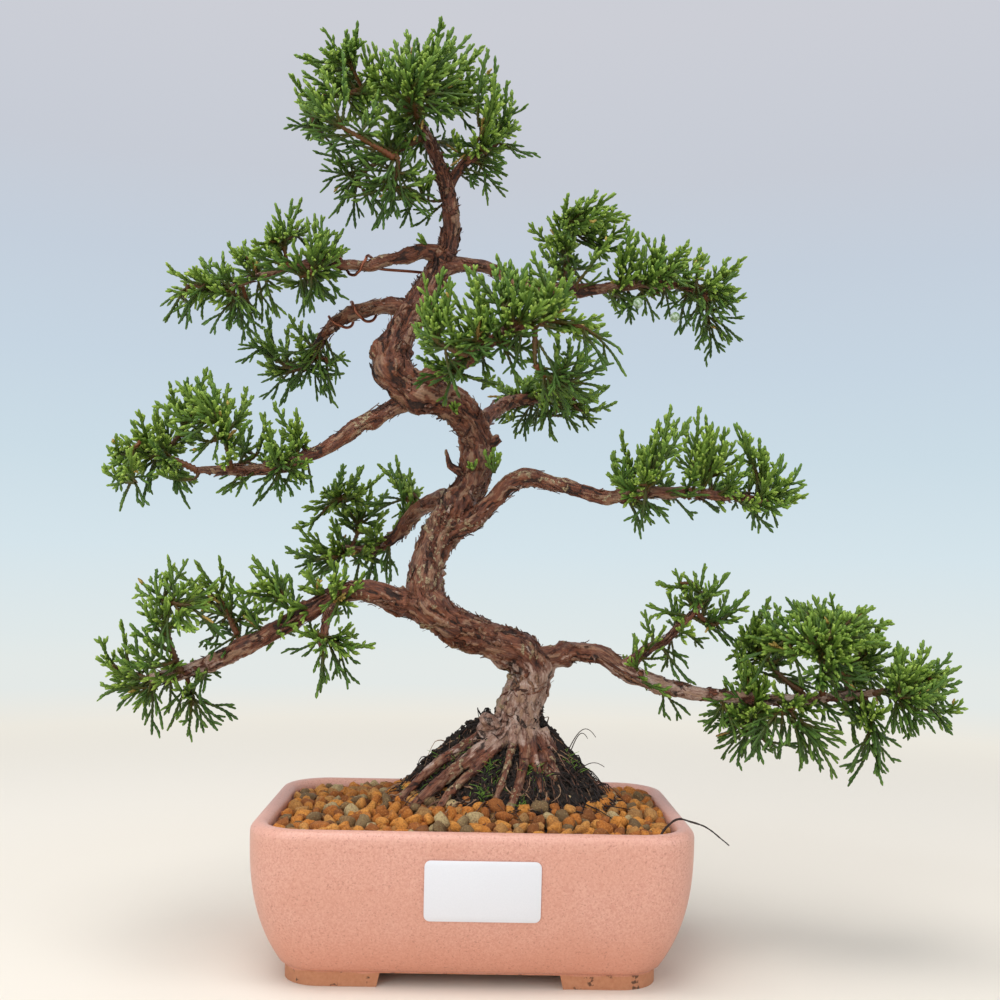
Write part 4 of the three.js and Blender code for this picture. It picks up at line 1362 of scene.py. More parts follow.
def knobs():
    """Swellings, burls and cut knots on the trunk: place and radius."""
    return [
        ((-33, -6, 158), 7.6), ((-22, -8, 149), 7.2), ((-36, -4, 166), 5.6), ((12, 3, 56), 7.4),
        ((-17, -5, 71), 7.4), ((22, 2, 50), 7.6), ((-8, 0, 109), 6.8), ((-1, 0, 127), 5.0),
        ((27, -7, 12), 4.6), ((26, -6, 17), 4.0), ((4, 0, 27), 3.6), ((-16, 5, 203), 4.6),
        ((-27, 0, 180), 5.6),
    ]


def model_trunk():
    """Trunk, surface roots and stubs, fused into one skin, then given its bark."""
    tubes = []
    for route in [TRUNK, *ROOTS, *FINE_ROOTS, *STUBS]:
        path = smooth_route(route, 1.0)
        if route in ROOTS:
            path[:, 3] *= bpy.context.scene.bonsai_wood.root_girth
        tubes.append(tube_arrays(path, 20, (0, 0, 0), 0.5, 2))
    piece = joined("trunk_wood", tubes, "bark")
    activate(piece)
    parts = [piece]
    for place, radius in knobs():
        at = in_frame(place)
        bpy.ops.mesh.primitive_uv_sphere_add(segments=20, ring_count=12, radius=radius * MM, location=at)
        parts.append(bpy.context.object)
    deselect_all()
    for part in parts:
        part.select_set(True)
    bpy.context.view_layer.objects.active = piece
    bpy.ops.object.join()
    piece.data.remesh_voxel_size = WOOD.fineness * MM
    piece.data.remesh_voxel_adaptivity = 0
    bpy.ops.object.voxel_remesh()
    apply_modifier(piece, "SMOOTH", factor=0.6, iterations=5)
    for layer in list(piece.data.attributes):
        if layer.name in ("bark", "sharp_face"):
            piece.data.attributes.remove(layer)
    points = out_of_frame(vertex_array(piece.data))
    normals = vertex_array(piece.data, "normal")
    unrolled, radius = unroll(points, sampled_routes([TRUNK, *ROOTS, *FINE_ROOTS, *STUBS]))
    out, colours = bark_relief(points, unrolled, radius)
    move_vertices(piece.data, in_frame(points + normals * out[:, None]))
    set_point_vectors(piece.data, "grain", unrolled)
    set_point_colours(piece.data, "bark", colours)
    piece.data.update()
    activate(piece)
    bpy.ops.object.shade_smooth()
    finish_piece(piece, "bark", surface_of(bark), "trunk")


def wandering(along, seed=0):
    """Three rows of smooth random numbers along a line, one for each axis."""
    lines = (np.stack([along, np.full(len(along), float(k)), np.zeros(len(along))], axis=1) for k in range(3))
    return np.stack([noise(line, seed + k) for k, line in enumerate(lines)], axis=1)


def model_branch(name, route):
    """One branch: a fine tube with a flared foot, knots and bark."""
    path = smooth_route(route, 0.55)
    seed = sum(map(ord, name))
    along = distances_along(path[:, :3])
    sides = int(np.clip(2 * math.pi * path[:, 3].max() / 0.6, 18, 52))
    rng = np.random.default_rng(seed)
    path[:, 3] *= 0.86 + 0.45 * np.exp(-along / 5)
    for _ in range(int(along[-1] / 12)):
        centre = rng.uniform(8, along[-1])
        height = rng.uniform(0.05, 0.25)
        path[:, 3] += path[:, 3] * height * np.exp(-((along - centre) / rng.uniform(1.2, 2.6)) ** 2)
    wander = wandering(along / 6, seed)
    path[:, :3] += wander * np.minimum(along / 10, 1)[:, None] * 0.5
    points, quads, fans, _ = tube_arrays(path, sides, (0, 0, 0))
    _, across, up = carried_frames(path[:, :3])
    angles = full_turn(sides)
    ring = ring_directions(across, up, angles)
    radius = np.repeat(path[:, 3], sides)
    twist = np.repeat(along * 0.015, sides) + np.tile(angles, len(path))
    unrolled = np.stack([np.cos(twist) * radius, np.sin(twist) * radius, np.repeat(along, sides)], axis=1)
    unrolled = np.vstack([unrolled, [0, 0, 0], [0, 0, along[-1]]])
    radius = np.append(radius, [path[0, 3], path[-1, 3]])
    outward = np.vstack([ring.reshape(-1, 3), [0, 0, 0], [0, 0, 0]])
    out, colours = bark_relief(points, unrolled, radius)
    points = points + outward * out[:, None]
    piece = mesh_piece(f"{name}_wood", in_frame(points), quads, fans, {"bark": colours})
    set_point_vectors(piece.data, "grain", unrolled)
    finish_piece(piece, "bark", surface_of(bark), name)


def bark_strip(rng, path, frames, reach, start, length, width, lifts):
    """A thin closed ribbon of bark along a limb, lifted at its ends. Returns points and the share along."""
    tangents, across, up = frames
    span = np.arange(start, min(start + length, len(path)))
    share = np.linspace(0, 1, len(span))
    angle = rng.uniform(0, 2 * math.pi) + share * rng.normal(0, 0.35)
    out = across[span] * np.cos(angle)[:, None] + up[span] * np.sin(angle)[:, None]
    base = np.array([reach(row[:3], direction, row[3]) for row, direction in zip(path[span], out)])
    lift = lifts[0] * np.clip(1 - share * 2, 0, 1) ** 1.5 + lifts[1] * np.clip(share * 2 - 1, 0, 1) ** 1.5
    swell = 0.25 + np.sin(math.pi * np.clip(share, 0.06, 0.94)) ** 0.6
    half = width * swell * (1 + 0.25 * rng.normal(size=len(span)))
    sideways = np.cross(tangents[span], out)
    centre = path[span, :3] + out * (base + lift)[:, None]
    curl = out * rng.uniform(-0.1, 0.35) * width
    ring = np.stack([
        centre + sideways * half[:, None] + curl - out * 0.1, centre + out * 0.14,
        centre - sideways * half[:, None] + curl * 0.5 - out * 0.1, centre - out * 0.12,
    ], axis=1).reshape(-1, 3)
    return np.vstack([ring, centre[0], centre[-1]]), np.append(np.repeat(share * length, 4), [0, length])


def model_bark_strips():
    """Loose strips and short flakes of peeling bark that follow the limbs, with their ends curled away."""
    rng = np.random.default_rng(47)
    mesh = bpy.data.objects["trunk_wood"].data
    tree = BVHTree.FromPolygons([v.co for v in mesh.vertices], [p.vertices for p in mesh.polygons])

    def trunk_reach(centre, direction, radius):
        hit = tree.ray_cast(Vector(in_frame(centre + direction * 16)), Vector(-direction), 20 * MM)[0]
        found = radius if hit is None else np.linalg.norm(out_of_frame(np.array(hit)) - centre)
        return found if found < radius + 2.5 else radius

    def branch_reach(_centre, _direction, radius):
        return radius * 0.9

    limbs = [("trunk", TRUNK, 95, 720, 1.0)]
    for name, route in BRANCHES.items():
        size = sum(point[3] for point in route) / len(route) / 5
        limbs.append((name, route, int(len(route) * 2), int(len(route) * 13), min(size + 0.15, 0.8)))
    parts, grains = [], []
    for name, route, strips, flakes, scale in limbs:
        path = smooth_route(route, 0.7)
        frames = carried_frames(path[:, :3])
        reach = trunk_reach if name == "trunk" else branch_reach
        for number in range(strips + flakes):
            long = number < strips
            if long:
                length = int(rng.uniform(9, 24) * (0.6 + 0.4 * scale))
                width = rng.uniform(0.3, 0.85) * scale
                lifts = rng.uniform(0.0, 1.3, 2) * scale
            else:
                length = int(rng.uniform(4, 9))
                width = rng.uniform(0.35, 1.2) * scale
                lifts = rng.uniform(0.1, 1.0) * np.array([rng.uniform(0, 0.4), 1.7]) * scale
            start = rng.integers(10 if name == "trunk" else 4, max(len(path) - length - 3, 12))
            if start + 4 > len(path):
                continue
            strip, along = bark_strip(rng, path, frames, reach, start, length, width, lifts)
            rings = (len(strip) - 2) // 4
            if rings < 3:
                continue
            # Strips low on the trunk are paler: silvery bark, partly a painted sheen.
            shade = (rng.uniform(0.2, 0.95), rng.uniform(0, 0.35) + 0.5 * (strip[0, 2] < 38), 0)
            parts.append((strip, *ring_faces(rings, 4), np.tile(shade, (len(strip), 1))))
            x, y, z = strip.T
            grains.append(np.stack([x + z, y - z * 0.5, along * 0.7], axis=1))
    piece = joined("bark_strips", parts, "bark")
    set_point_vectors(piece.data, "grain", np.vstack(grains))
    finish_piece(piece, "bark", surface_of(bark))


# ------------------------------------------------------------------ foliage

# How sprays grow. Lengths are in millimetres and angles in degrees. Side cords leave every step, within
# fan of the tip, at the angle spread; each is extra long, and reach times what is left of its cord.
TOP_SPRAY = {
    "girth": 1.0, "step": 2.4, "spread": 41, "reach": 0.33,
    "extra": 1.5, "fan": 18, "jitter": 30, "rise": 0.13,
}
OPEN_SPRAY = {
    "girth": 0.935, "step": 3.4, "spread": 38, "reach": 0.38,
    "extra": 1.9, "fan": 21, "jitter": 32, "rise": 0.15,
}
UNDER_SPRAY = {
    "girth": 0.806, "step": 5.6, "spread": 33, "reach": 0.55,
    "extra": 2.6, "fan": 21, "jitter": 28, "rise": -0.05,
}


class Cords:
    """Scale-leaf cords, each a bent line with a radius and its growth values, and their meshing."""

    def __init__(self):
        self.rows = []
        self.radius = FOLIAGE.cord_radius

    def add(self, start, middle, end, radius, tips, tone, dry):
        self.rows.append((*start, *middle, *end, *radius, *tips, tone, dry))

    def triangles(self):
        """For each cord, how many rings it has and how many triangles that makes."""
        rows = np.array(self.rows)
        first, second = rows[:, 3:6] - rows[:, :3], rows[:, 6:9] - rows[:, 3:6]
        length = np.linalg.norm(first, axis=1) + np.linalg.norm(second, axis=1)
        rings = np.clip(np.round(length / FOLIAGE.ring_spacing).astype(int), 3, 40)
        return rings, (rings - 1) * 8 + 8

    def pieces(self, base_name):
        """The cords as meshes, each under the limit on triangles."""
        rows = np.array(self.rows)
        rings, counts = self.triangles()
        parts = int(np.ceil(counts.sum() / MAX_PIECE_TRIANGLES))
        bounds = np.searchsorted(np.cumsum(counts), np.linspace(0, counts.sum(), parts + 1)[1:-1])
        made = []
        for i, chosen in enumerate(np.split(np.arange(len(rows)), bounds)):
            name = base_name if parts == 1 else f"{base_name}_{i + 1}"
            made.append(self.mesh(name, rows[chosen], rings[chosen]))
        return made

    def mesh(self, name, rows, rings):
        """One mesh of cords: square tubes whose corners swell in turn, as paired scale leaves do."""
        sides = 4
        parts = []
        for count in np.unique(rings):
            group = rows[rings == count]
            p0, p1, p2 = group[:, None, :3], group[:, None, 3:6], group[:, None, 6:9]
            t = np.linspace(0, 1, count)[None, :, None]
            centres = p0 * (1 - t) ** 2 + p1 * 2 * t * (1 - t) + p2 * t**2
            tangents = 2 * (1 - t) * (p1 - p0) + 2 * t * (p2 - p1)
            tangents /= np.linalg.norm(tangents, axis=2, keepdims=True)
            pole = np.tile(np.array([0.31, 0.22, 0.925]), (len(group), 1))
            flat = np.abs(np.sum(pole * tangents[:, 0], axis=1)) > 0.85
            pole[flat] = [0.95, -0.1, 0.1]
            side = np.cross(tangents, pole[:, None])
            side /= np.linalg.norm(side, axis=2, keepdims=True)
            up = np.cross(tangents, side)
            share = t[..., 0]
            radius = group[:, 9, None] * (1 - share) + group[:, 10, None] * share
            radius = radius * np.where(share > 0.999, 0.66, 1.0)
            angles = np.arange(sides) * math.pi / 2
            swell = 1 + 0.17 * np.where((np.arange(count)[:, None] + np.arange(sides)[None]) % 2 == 0, 1, -1)
            reach = radius[:, :, None] * swell[None]
            cos, sin = np.cos(angles)[:, None], np.sin(angles)[:, None]
            around = side[:, :, None] * cos + up[:, :, None] * sin
            ring = centres[:, :, None] + reach[..., None] * around
            tip = centres[:, -1] + tangents[:, -1] * group[:, 10, None] * 0.75
            base = centres[:, 0]
            block = np.concatenate([ring.reshape(len(group), -1, 3), base[:, None], tip[:, None]], axis=1)
            per = block.shape[1]
            starts = (np.arange(len(group)) * per)[:, None, None]
            quads, fans = ring_faces(count, sides)
            quads = (quads[None] + starts).reshape(-1, 4)
            fans = (fans[None] + starts).reshape(-1, 3)
            old, young, tone, dry = (group[:, i, None] for i in (11, 12, 13, 14))
            growth = old * (1 - share) + young * share
            growth = np.concatenate([np.repeat(growth, sides, axis=1), old, young + 0.08], axis=1)
            tone, dry = np.repeat(tone, per, axis=1), np.repeat(dry, per, axis=1)
            values = np.stack([growth, tone, dry], axis=2).reshape(-1, 3)
            parts.append((block.reshape(-1, 3), quads, fans, values))
        return joined(name, parts, "growth")


def unit(vector):
    """The vector at length 1, or straight up if it has no length."""
    length = math.sqrt(vector @ vector)
    return vector / length if length > 1e-9 else np.array([0.0, 0.0, 1.0])


def grow_cord(cords, rng, start, middle, end, level, style, growth, tone, dry):
    """Adds one cord, and the side cords that fan out from its outer part."""
    first_leg, last_leg = middle - start, end - middle
    length = math.sqrt(first_leg @ first_leg) + math.sqrt(last_leg @ last_leg)
    radius = cords.radius * style["girth"] * (1.0 if level else 1.08)
    cords.add(start, middle, end, (radius * 0.94, radius), growth, tone, dry)
    if level > 1 or length < 2.8:
        return
    normal = unit(np.cross(unit(end - start), rng.normal(size=3)))
    sign = rng.choice((-1, 1))
    at = max(length - style["fan"], 2.0) if level == 0 else style["step"] * 0.8
    step = style["step"] * (1.0 if level == 0 else 0.86)
    while at < length - 0.9:
        t = at / length
        point = start * (1 - t) ** 2 + middle * 2 * t * (1 - t) + end * t * t
        tangent = unit((1 - t) * first_leg + t * last_leg)
        reach = (style["reach"] * (length - at) + style["extra"]) * rng.uniform(0.75, 1.2)
        angle = math.radians(style["spread"]) * rng.uniform(0.8, 1.25)
        roll = math.radians(rng.normal(0, style["jitter"]))
        flat = unit(np.cross(normal, tangent))
        across = (flat * math.cos(roll) + np.cross(tangent, flat) * math.sin(roll)) * sign
        direction = tangent * math.cos(angle) + across * math.sin(angle)
        bend = point + direction * reach * 0.5
        stop = bend + unit(direction + tangent * 0.6) * reach * 0.5
        young = (growth[0] * (1 - t) + growth[1] * t, min(growth[1] + 0.12, 1.0))
        withered = 0.75 if rng.random() < 0.006 else dry
        grow_cord(cords, rng, point, bend, stop, level + 1, style, young, tone, withered)
        sign = -sign
        at += step * rng.uniform(0.8, 1.25)


def skin_places(node, rng, spacing):
    """Places spread evenly over a CAD pad's skin, with the skin's outward normals."""
    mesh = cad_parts[node].data
    mesh.calc_loop_triangles()
    points = out_of_frame(vertex_array(mesh))
    triangles = np.array([t.vertices[:] for t in mesh.loop_triangles])
    a, b, c = (points[triangles[:, i]] for i in range(3))
    cross = np.cross(b - a, c - a)
    area = np.linalg.norm(cross, axis=1) / 2
    normals = cross / np.maximum(np.linalg.norm(cross, axis=1), 1e-9)[:, None]
    count = int(area.sum() / spacing**2 * 14)
    chosen = rng.choice(len(triangles), count, p=area / area.sum())
    u, v = rng.random((2, count))
    over = u + v > 1
    u[over], v[over] = 1 - u[over], 1 - v[over]
    places = a[chosen] + (b - a)[chosen] * u[:, None] + (c - a)[chosen] * v[:, None]
    kept, kept_normals, grid = [], [], {}
    for place, normal in zip(places, normals[chosen]):
        key = tuple((place // spacing).astype(int))
        near = (o for i in (-1, 0, 1) for j in (-1, 0, 1) for k in (-1, 0, 1)
                for o in grid.get((key[0] + i, key[1] + j, key[2] + k), ()))
        if all(np.dot(place - o, place - o) > spacing * spacing for o in near):
            grid.setdefault(key, []).append(place)
            kept.append(place)
            kept_normals.append(normal)
    return np.array(kept), np.array(kept_normals)


def pad_skeleton(cords, rng, wood, places):
    """Brown twigs inside a pad, from its branch towards its skin. Returns places along them."""
    middle = places.mean(axis=0)
    reach = np.linalg.norm(places - middle, axis=1).max()
    spine = wood[np.linalg.norm(wood[:, :3] - middle, axis=1) < reach + 6]
    if len(spine) < 4:
        spine = wood[-8:]
    samples = [row[:3] for row in spine[::3]]
    order = rng.permutation(len(places))
    for index in order[: max(len(places) // 7, 8)]:
        target = places[index]
        tree = np.array(samples)
        distance = np.linalg.norm(tree - target, axis=1)
        nearest = tree[np.argmin(distance)]
        gap = distance.min()
        if gap < 11:
            continue
        end = nearest + (target - nearest) * (1 - 9 / gap) + rng.normal(0, 1, 3)
        bend = (nearest + end) / 2 + np.array([0, 0, -0.08 * gap]) + rng.normal(0, 0.05 * gap, 3)
        thick = 0.62 + 0.022 * gap
        cords.add(nearest, bend, end, (thick, thick * 0.6), (-0.02, 0.1), rng.random(), 0.0)
        for t in np.linspace(0.25, 1, max(int(gap / 4), 2)):
            samples.append(nearest * (1 - t) ** 2 + bend * 2 * t * (1 - t) + end * t * t)
    return np.array(samples)


def bridged(rng, places, normals, spacing):
    """The places, and more between them, where the pad's lobes leave gaps that foliage would close."""
    upper = np.flatnonzero(normals[:, 2] > -0.2)
    if len(upper) < 4:
        return places, normals
    kept, kept_normals = list(places), list(normals)
    for _ in range(len(places) * 6):
        i, j = rng.choice(upper, 2, replace=False)
        gap = np.linalg.norm(places[i] - places[j])
        facing = (places[j] - places[i]) @ (normals[i] - normals[j]) / gap
        if not 8 < gap < 26 or facing < 0.25:
            continue
        middle = places[i] + (places[j] - places[i]) * rng.uniform(0.35, 0.65)
        if min(np.dot(middle - p, middle - p) for p in kept) > (spacing * 0.85) ** 2:
            kept.append(middle)
            kept_normals.append(unit(normals[i] + normals[j] + np.array([0, 0, 0.3])))
    return np.array(kept), np.array(kept_normals)


def model_pad(name):
    """A foliage pad: sprays that start on its twigs and end at the pad's skin."""
    carriers, spacing = PADS[name]
    rng = np.random.default_rng(sum(map(ord, name)) * 7)
    cords = Cords()
    routes = {**BRANCHES, "trunk": TRUNK[-5:]}
    wood = np.vstack([smooth_route(routes[carrier], 1.0) for carrier in carriers])
    places, normals = skin_places(name, rng, spacing)
    to_wood = np.min(np.linalg.norm(places[:, None] - wood[None, :, :3], axis=2), axis=1)
    keep = to_wood > 6
    places, normals = bridged(rng, places[keep], normals[keep], spacing)
    samples = pad_skeleton(cords, rng, wood, places)
    centre = places.mean(axis=0)
    onwards = np.gradient(wood[:, :3], axis=0)
    onwards /= np.linalg.norm(onwards, axis=1)[:, None]
    for place, normal in zip(places, normals):
        nearest = np.argmin(np.linalg.norm(wood[:, :3] - place, axis=1))
        below = wood[nearest, 2] - place[2]
        under = normal[2] < -0.3 or below > 4
        if under and rng.random() < 0.46:
            continue
        if under:
            style = UNDER_SPRAY
        elif name in OPEN_PADS or rng.random() < 0.15:
            style = OPEN_SPRAY
        else:
            style = TOP_SPRAY
        target = place + normal * rng.normal(0.4, 2.2) + np.array([0, 0, -2.0 if under else 0.8])
        onward = onwards[nearest]
        upward = np.array([0, 0, -0.1 if under else 0.5])
        wanted = unit(normal + unit(place - centre) * 0.3 + onward * 0.55 + upward)
        offsets = target - samples
        distance = np.linalg.norm(offsets, axis=1)
        turned = 1 - (offsets @ wanted) / np.maximum(distance, 1)
        start = samples[np.argmin(np.abs(distance - 17) + 9 * turned)]
        gap = math.sqrt((target - start) @ (target - start))
        if gap < 6:
            start = target - wanted * 12
            gap = 12
        if gap > 30:
            start = target + (start - target) * 27 / gap
            gap = 27
        lift = np.array([0, 0, 1.0]) * style["rise"] * gap
        middle = (start + target) / 2 - lift * 1.2 + rng.normal(0, 0.07 * gap, 3)
        # Sprays under the pad get darker, cooler tones and duller tips: painted shade on the pad's underside.
        tone = np.clip(rng.normal(0.40 if under else 0.66, 0.22), 0, 1)
        growth = (0.08, 0.5 if under else 0.72)
        grow_cord(cords, rng, start, middle, target, 0, style, growth, tone, 0.0)
    for piece in cords.pieces(name + "_sprays"):
        finish_piece(piece, "foliage", surface_of(foliage), name)


# ------------------------------------------------------------------ small things

def model_berries():
    """Two berry-like cones, each a slightly facetted ball."""
    for name in ("berry_left", "berry_right"):
        low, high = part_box(name)
        middle, radius = (low + high) / 2, (high.x - low.x) / 2
        deselect_all()
        bpy.ops.mesh.primitive_ico_sphere_add(subdivisions=4, radius=radius, location=middle)
        piece = bpy.context.object
        piece.name = f"{name}_cone"
        bpy.ops.object.transform_apply(location=True, rotation=True, scale=True)
        local = (vertex_array(piece.data) - np.array(middle)) / radius
        dents = noise(local * 1.6 + 5, 3)[:, None] * 0.10
        nipple = smooth_step(0.9, 1.0, -local[:, 2])[:, None] * 0.12
        move_vertices(piece.data, np.array(middle) + local * radius * (1 + dents + nipple))
        bpy.ops.object.shade_smooth()
        finish_piece(piece, "berry", surface_of(berry_skin), name)


def wire_path():
    """Rows of x, y, z, radius: round one upper branch, behind the trunk, and round the next branch."""
    radius, clearance, turns = 0.55, 0.5, 1.6

    def windings(route, start, stop, angle):
        path = smooth_route(route, 0.5)
        tangents, _, _ = carried_frames(path[:, :3])
        rows = []
        for share in np.linspace(0, 1, 26):
            index = int((start + (stop - start) * share) * (len(path) - 1))
            along = tangents[index]
            level = unit(np.array([-along[1], along[0], 0]))
            up = np.cross(along, level)
            turn = angle + 2 * math.pi * turns * share
            out = level * math.cos(turn) + up * math.sin(turn)
            rows.append(path[index, :3] + out * (path[index, 3] * 1.12 + radius + clearance))
        return rows

    upper = windings(BRANCHES["branch_upper_left"], 0.52, 0.29, 0)
    lower = windings(BRANCHES["branch_second_left"], 0.32, 0.6, math.pi)
    behind = [np.array(p, float) for p in ((-19, 12.5, 198), (-20, 12, 191), (-23, 10, 185))]
    rows = np.array([*upper, *behind, *lower])
    return smooth_route(np.hstack([rows, np.full((len(rows), 1), radius)]), 0.6)


def model_wire():
    tube = tube_arrays(wire_path(), 12, (0, 0, 0))
    piece = joined("training_wire_coil", [tube], "tone")
    finish_piece(piece, "training_wire", surface_of(anodised_wire), "training_wire")


def model_stray_root():
    """The loose dark root that has grown out over the rim."""
    low, high = map(out_of_frame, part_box("stray_root"))
    shape = [
        (0, 0.55, 0.0), (0.1, 0.62, 0.5), (0.28, 0.55, 1.0), (0.5, 0.35, 0.95),
        (0.72, 0.2, 0.68), (0.9, 0.08, 0.25), (1.0, 0.0, 0.0),
    ]
    size = high - low
    thick, taper = 0.42, 0.22
    route = [(*(low + np.array(share) * size), thick - taper * share[0]) for share in shape]
    route[0] = (*route[0][:2], soil_height(route[0][0], route[0][1]) - 0.5, thick)
    path = smooth_route(route, 0.5)
    path[:, :3] += wandering(path[:, 0] / 4) * 0.25
    finish_piece(joined("stray_root_strand", [tube_arrays(path, 8, (0.15, 0, 0), 0.08)], "tone"),
                 "root_strand", surface_of(fine_root), "stray_root")


def finish_hidden_nodes():
    """Hidden CAD parts keep their shape and take a finish."""
    finishes = {"drain_screen": net_plastic, "screen_clip": clip_metal, "drainage_grit": pumice}
    for name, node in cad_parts.items():
        for start, maker in finishes.items():
            if name.startswith(start):
                give_material(node, surface_of(maker))


def model_sprouts():
    """Young shoots that break straight from the trunk's bark."""
    rng = np.random.default_rng(59)
    cords = Cords()
    for at, toward, size in (
        ((-22, -3, 206), (-0.6, -0.6, 0.6), 5), ((-12, -8, 154), (0.1, -0.8, 0.5), 6),
        ((-10, -9, 143), (-0.1, -1, 0.3), 5), ((-3, -5, 122), (0.1, -1, 0.4), 6),
        ((5, -8, 121), (0.1, -0.3, 1), 9), ((0, -5, 152), (0.5, -0.7, 0.5), 8),
        ((-20, -9, 156), (-0.2, -0.9, 0.3), 5),
    ):
        start = np.array(at, float)
        for _ in range(3):
            direction = unit(np.array(toward) + rng.normal(0, 0.3, 3))
            end = start + direction * size
            grow_cord(cords, rng, start, (start + end) / 2, end, 1, TOP_SPRAY, (0.3, 0.7), 0.8, 0.0)
    for piece in cords.pieces("trunk_sprouts"):
        finish_piece(piece, "foliage", surface_of(foliage))


# ------------------------------------------------------------------ stage

def stage_floor():
    """A pale floor that curves up all round into a soft backdrop; from 0.3 m out the floor and the backdrop
    glow by emission, painted light in place of lamplight.
    """
    profile = [
        (0.0, 0.0), (0.9, 0.0), (1.1, 0.02), (1.28, 0.09), (1.40, 0.22), (1.46, 0.45), (1.5, 0.9), (1.5, 2.6),
    ]
    path = smooth_route([(x, 0, z, 0) for x, z in profile], 0.03)
    sides = 96
    angles = full_turn(sides)
    rows = np.stack([path[1:, 0][:, None] * np.cos(angles), path[1:, 0][:, None] * np.sin(angles),
                     np.repeat(np.maximum(path[1:, 2], 0)[:, None], sides, axis=1)], axis=2)
    points = np.vstack([rows.reshape(-1, 3), [[0, 0, 0]]])
    quads, fans = ring_faces(len(path) - 1, sides)
    piece = mesh_piece("stage_floor", points, quads[:, ::-1], fans[:sides][:, ::-1])
    s = Surface("stage_paper", Roughness=0.9, Emission_Strength=1.0, Specular_IOR_Level=0.0)
    place = s.place()
    height = s.node("ShaderNodeSeparateXYZ", {}, {"Vector": place}, "Z")
    level = s.stretched(place, (1, 1, 0))
    reach = s.node("ShaderNodeVectorMath", {"operation": "LENGTH"}, {0: level}, "Value")
    floor = s.ramp(reach, (0.25, srgb(231, 223, 210)), (0.7, srgb(237, 233, 223)), (1.0, srgb(228, 233, 231)))
    wall = s.ramp(
        height,
        (0.02, srgb(226, 233, 232)), (0.16, srgb(213, 228, 235)), (0.30, srgb(203, 220, 230)),
        (0.44, srgb(198, 213, 226)), (0.60, srgb(196, 207, 220)), (0.75, srgb(199, 204, 214)),
        (1.0, srgb(204, 206, 214)),
    )
    colour = s.mix(s.band(height, 0.004, 0.05), floor, wall)
    # The far floor and the backdrop glow: painted light, not lit by the lamps.
    glow = s.band(reach, 0.30, 0.75)
    s.finish(Base_Color=s.mix(glow, colour, grey(0)), Emission_Color=s.mix(glow, grey(0), colour))
    piece.data.materials.append(s.material)


def add_softbox(name, place, target, size, power):
    """A rectangular lamp that faces its target and isn't seen itself."""
    light = bpy.data.lights.new(name, "AREA")
    light.shape = "RECTANGLE"
    light.size, light.size_y = size
    light.energy = power
    lamp = bpy.data.objects.new(name, light)
    lamp.location = place
    lamp.rotation_euler = (Vector(target) - Vector(place)).to_track_quat("-Z", "Y").to_euler()
    lamp.visible_camera = False
    bpy.context.scene.collection.objects.link(lamp)


def stage_lights():
    """A dim even sky and three softboxes: above, at the left front and at the right."""
    world = bpy.data.worlds.new("soft_sky")
    world.use_nodes = True
    world.node_tree.nodes["Background"].inputs["Color"].default_value = srgb(236, 240, 246)
    world.node_tree.nodes["Background"].inputs["Strength"].default_value = 0.3
    bpy.context.scene.world = world
    aim = (0, 0, 0.16)
    add_softbox("softbox_top", (-0.25, -0.25, 1.25), aim, (0.9, 0.8), 11)
    add_softbox("softbox_front", (-0.55, -1.15, 0.65), aim, (0.7, 0.7), 5)
    add_softbox("softbox_right", (1.0, -0.5, 0.75), aim, (0.6, 0.6), 2.2)


def stage_camera():
    """Seen from just left of the pot's middle, a little above the pot's rim, nearly level."""
    distance, left, height = 465.8, 1.6, 140.4
    yaw, pitch, roll = math.radians(1.12), math.radians(2.96), math.radians(1.19)
    camera = bpy.data.cameras.new("camera")
    camera.sensor_width = 36
    camera.lens = 45.25
    camera.clip_start = 0.01
    seen = bpy.data.objects.new("camera", camera)
    seen.location = (RIM_MIDDLE.x - left * MM, RIM_MIDDLE.y - distance * MM, height * MM)
    turns = ((-yaw, "Z"), (math.pi / 2 + pitch, "X"), (roll, "Z"))
    first, second, third = (Matrix.Rotation(angle, 3, axis) for angle, axis in turns)
    seen.rotation_euler = (first @ second @ third).to_euler()
    bpy.context.scene.collection.objects.link(seen)
    bpy.context.scene.camera = seen
    bpy.context.scene.view_settings.view_transform = "Standard"


# ------------------------------------------------------------------ operators

class BONSAI_OT_stage(bpy.types.Operator):
    """Lay the floor, hang the lights and place the camera"""

    bl_idname = "bonsai.stage"
    bl_label = "Stage"

    def execute(self, _context):
        stage_floor()
        stage_lights()
        stage_camera()
        return {"FINISHED"}


class BONSAI_OT_pot(bpy.types.Operator):
    """Model the glazed pot with its feet and drain holes"""

    bl_idname = "bonsai.pot"
    bl_label = "Pot"

    def execute(self, _context):
        model_pot()
        return {"FINISHED"}


class BONSAI_OT_label(bpy.types.Operator):
    """Lay the blank label on the pot's front"""

    bl_idname = "bonsai.label"
    bl_label = "Label"

    def execute(self, _context):
        model_label()
        return {"FINISHED"}


class BONSAI_OT_soil(bpy.types.Operator):
    """Fill the pot with clay granules"""

    bl_idname = "bonsai.soil"
    bl_label = "Granules"

    def execute(self, _context):
        model_soil_bed()
        model_granules()
        return {"FINISHED"}


class BONSAI_OT_root_ball(bpy.types.Operator):
    """Heap the old root ball round the trunk's foot, with its crumbs, fine roots and moss"""

    bl_idname = "bonsai.root_ball"
    bl_label = "Root Ball and Moss"

    def execute(self, _context):
        rng = np.random.default_rng(23)
        model_mound()
        model_crumbs(rng)
        model_fine_roots(rng)
        model_moss()
        return {"FINISHED"}


class BONSAI_OT_trunk(bpy.types.Operator):
    """Model the trunk with its surface roots and stubs"""

    bl_idname = "bonsai.trunk"
    bl_label = "Trunk"

    def execute(self, _context):
        model_trunk()
        return {"FINISHED"}


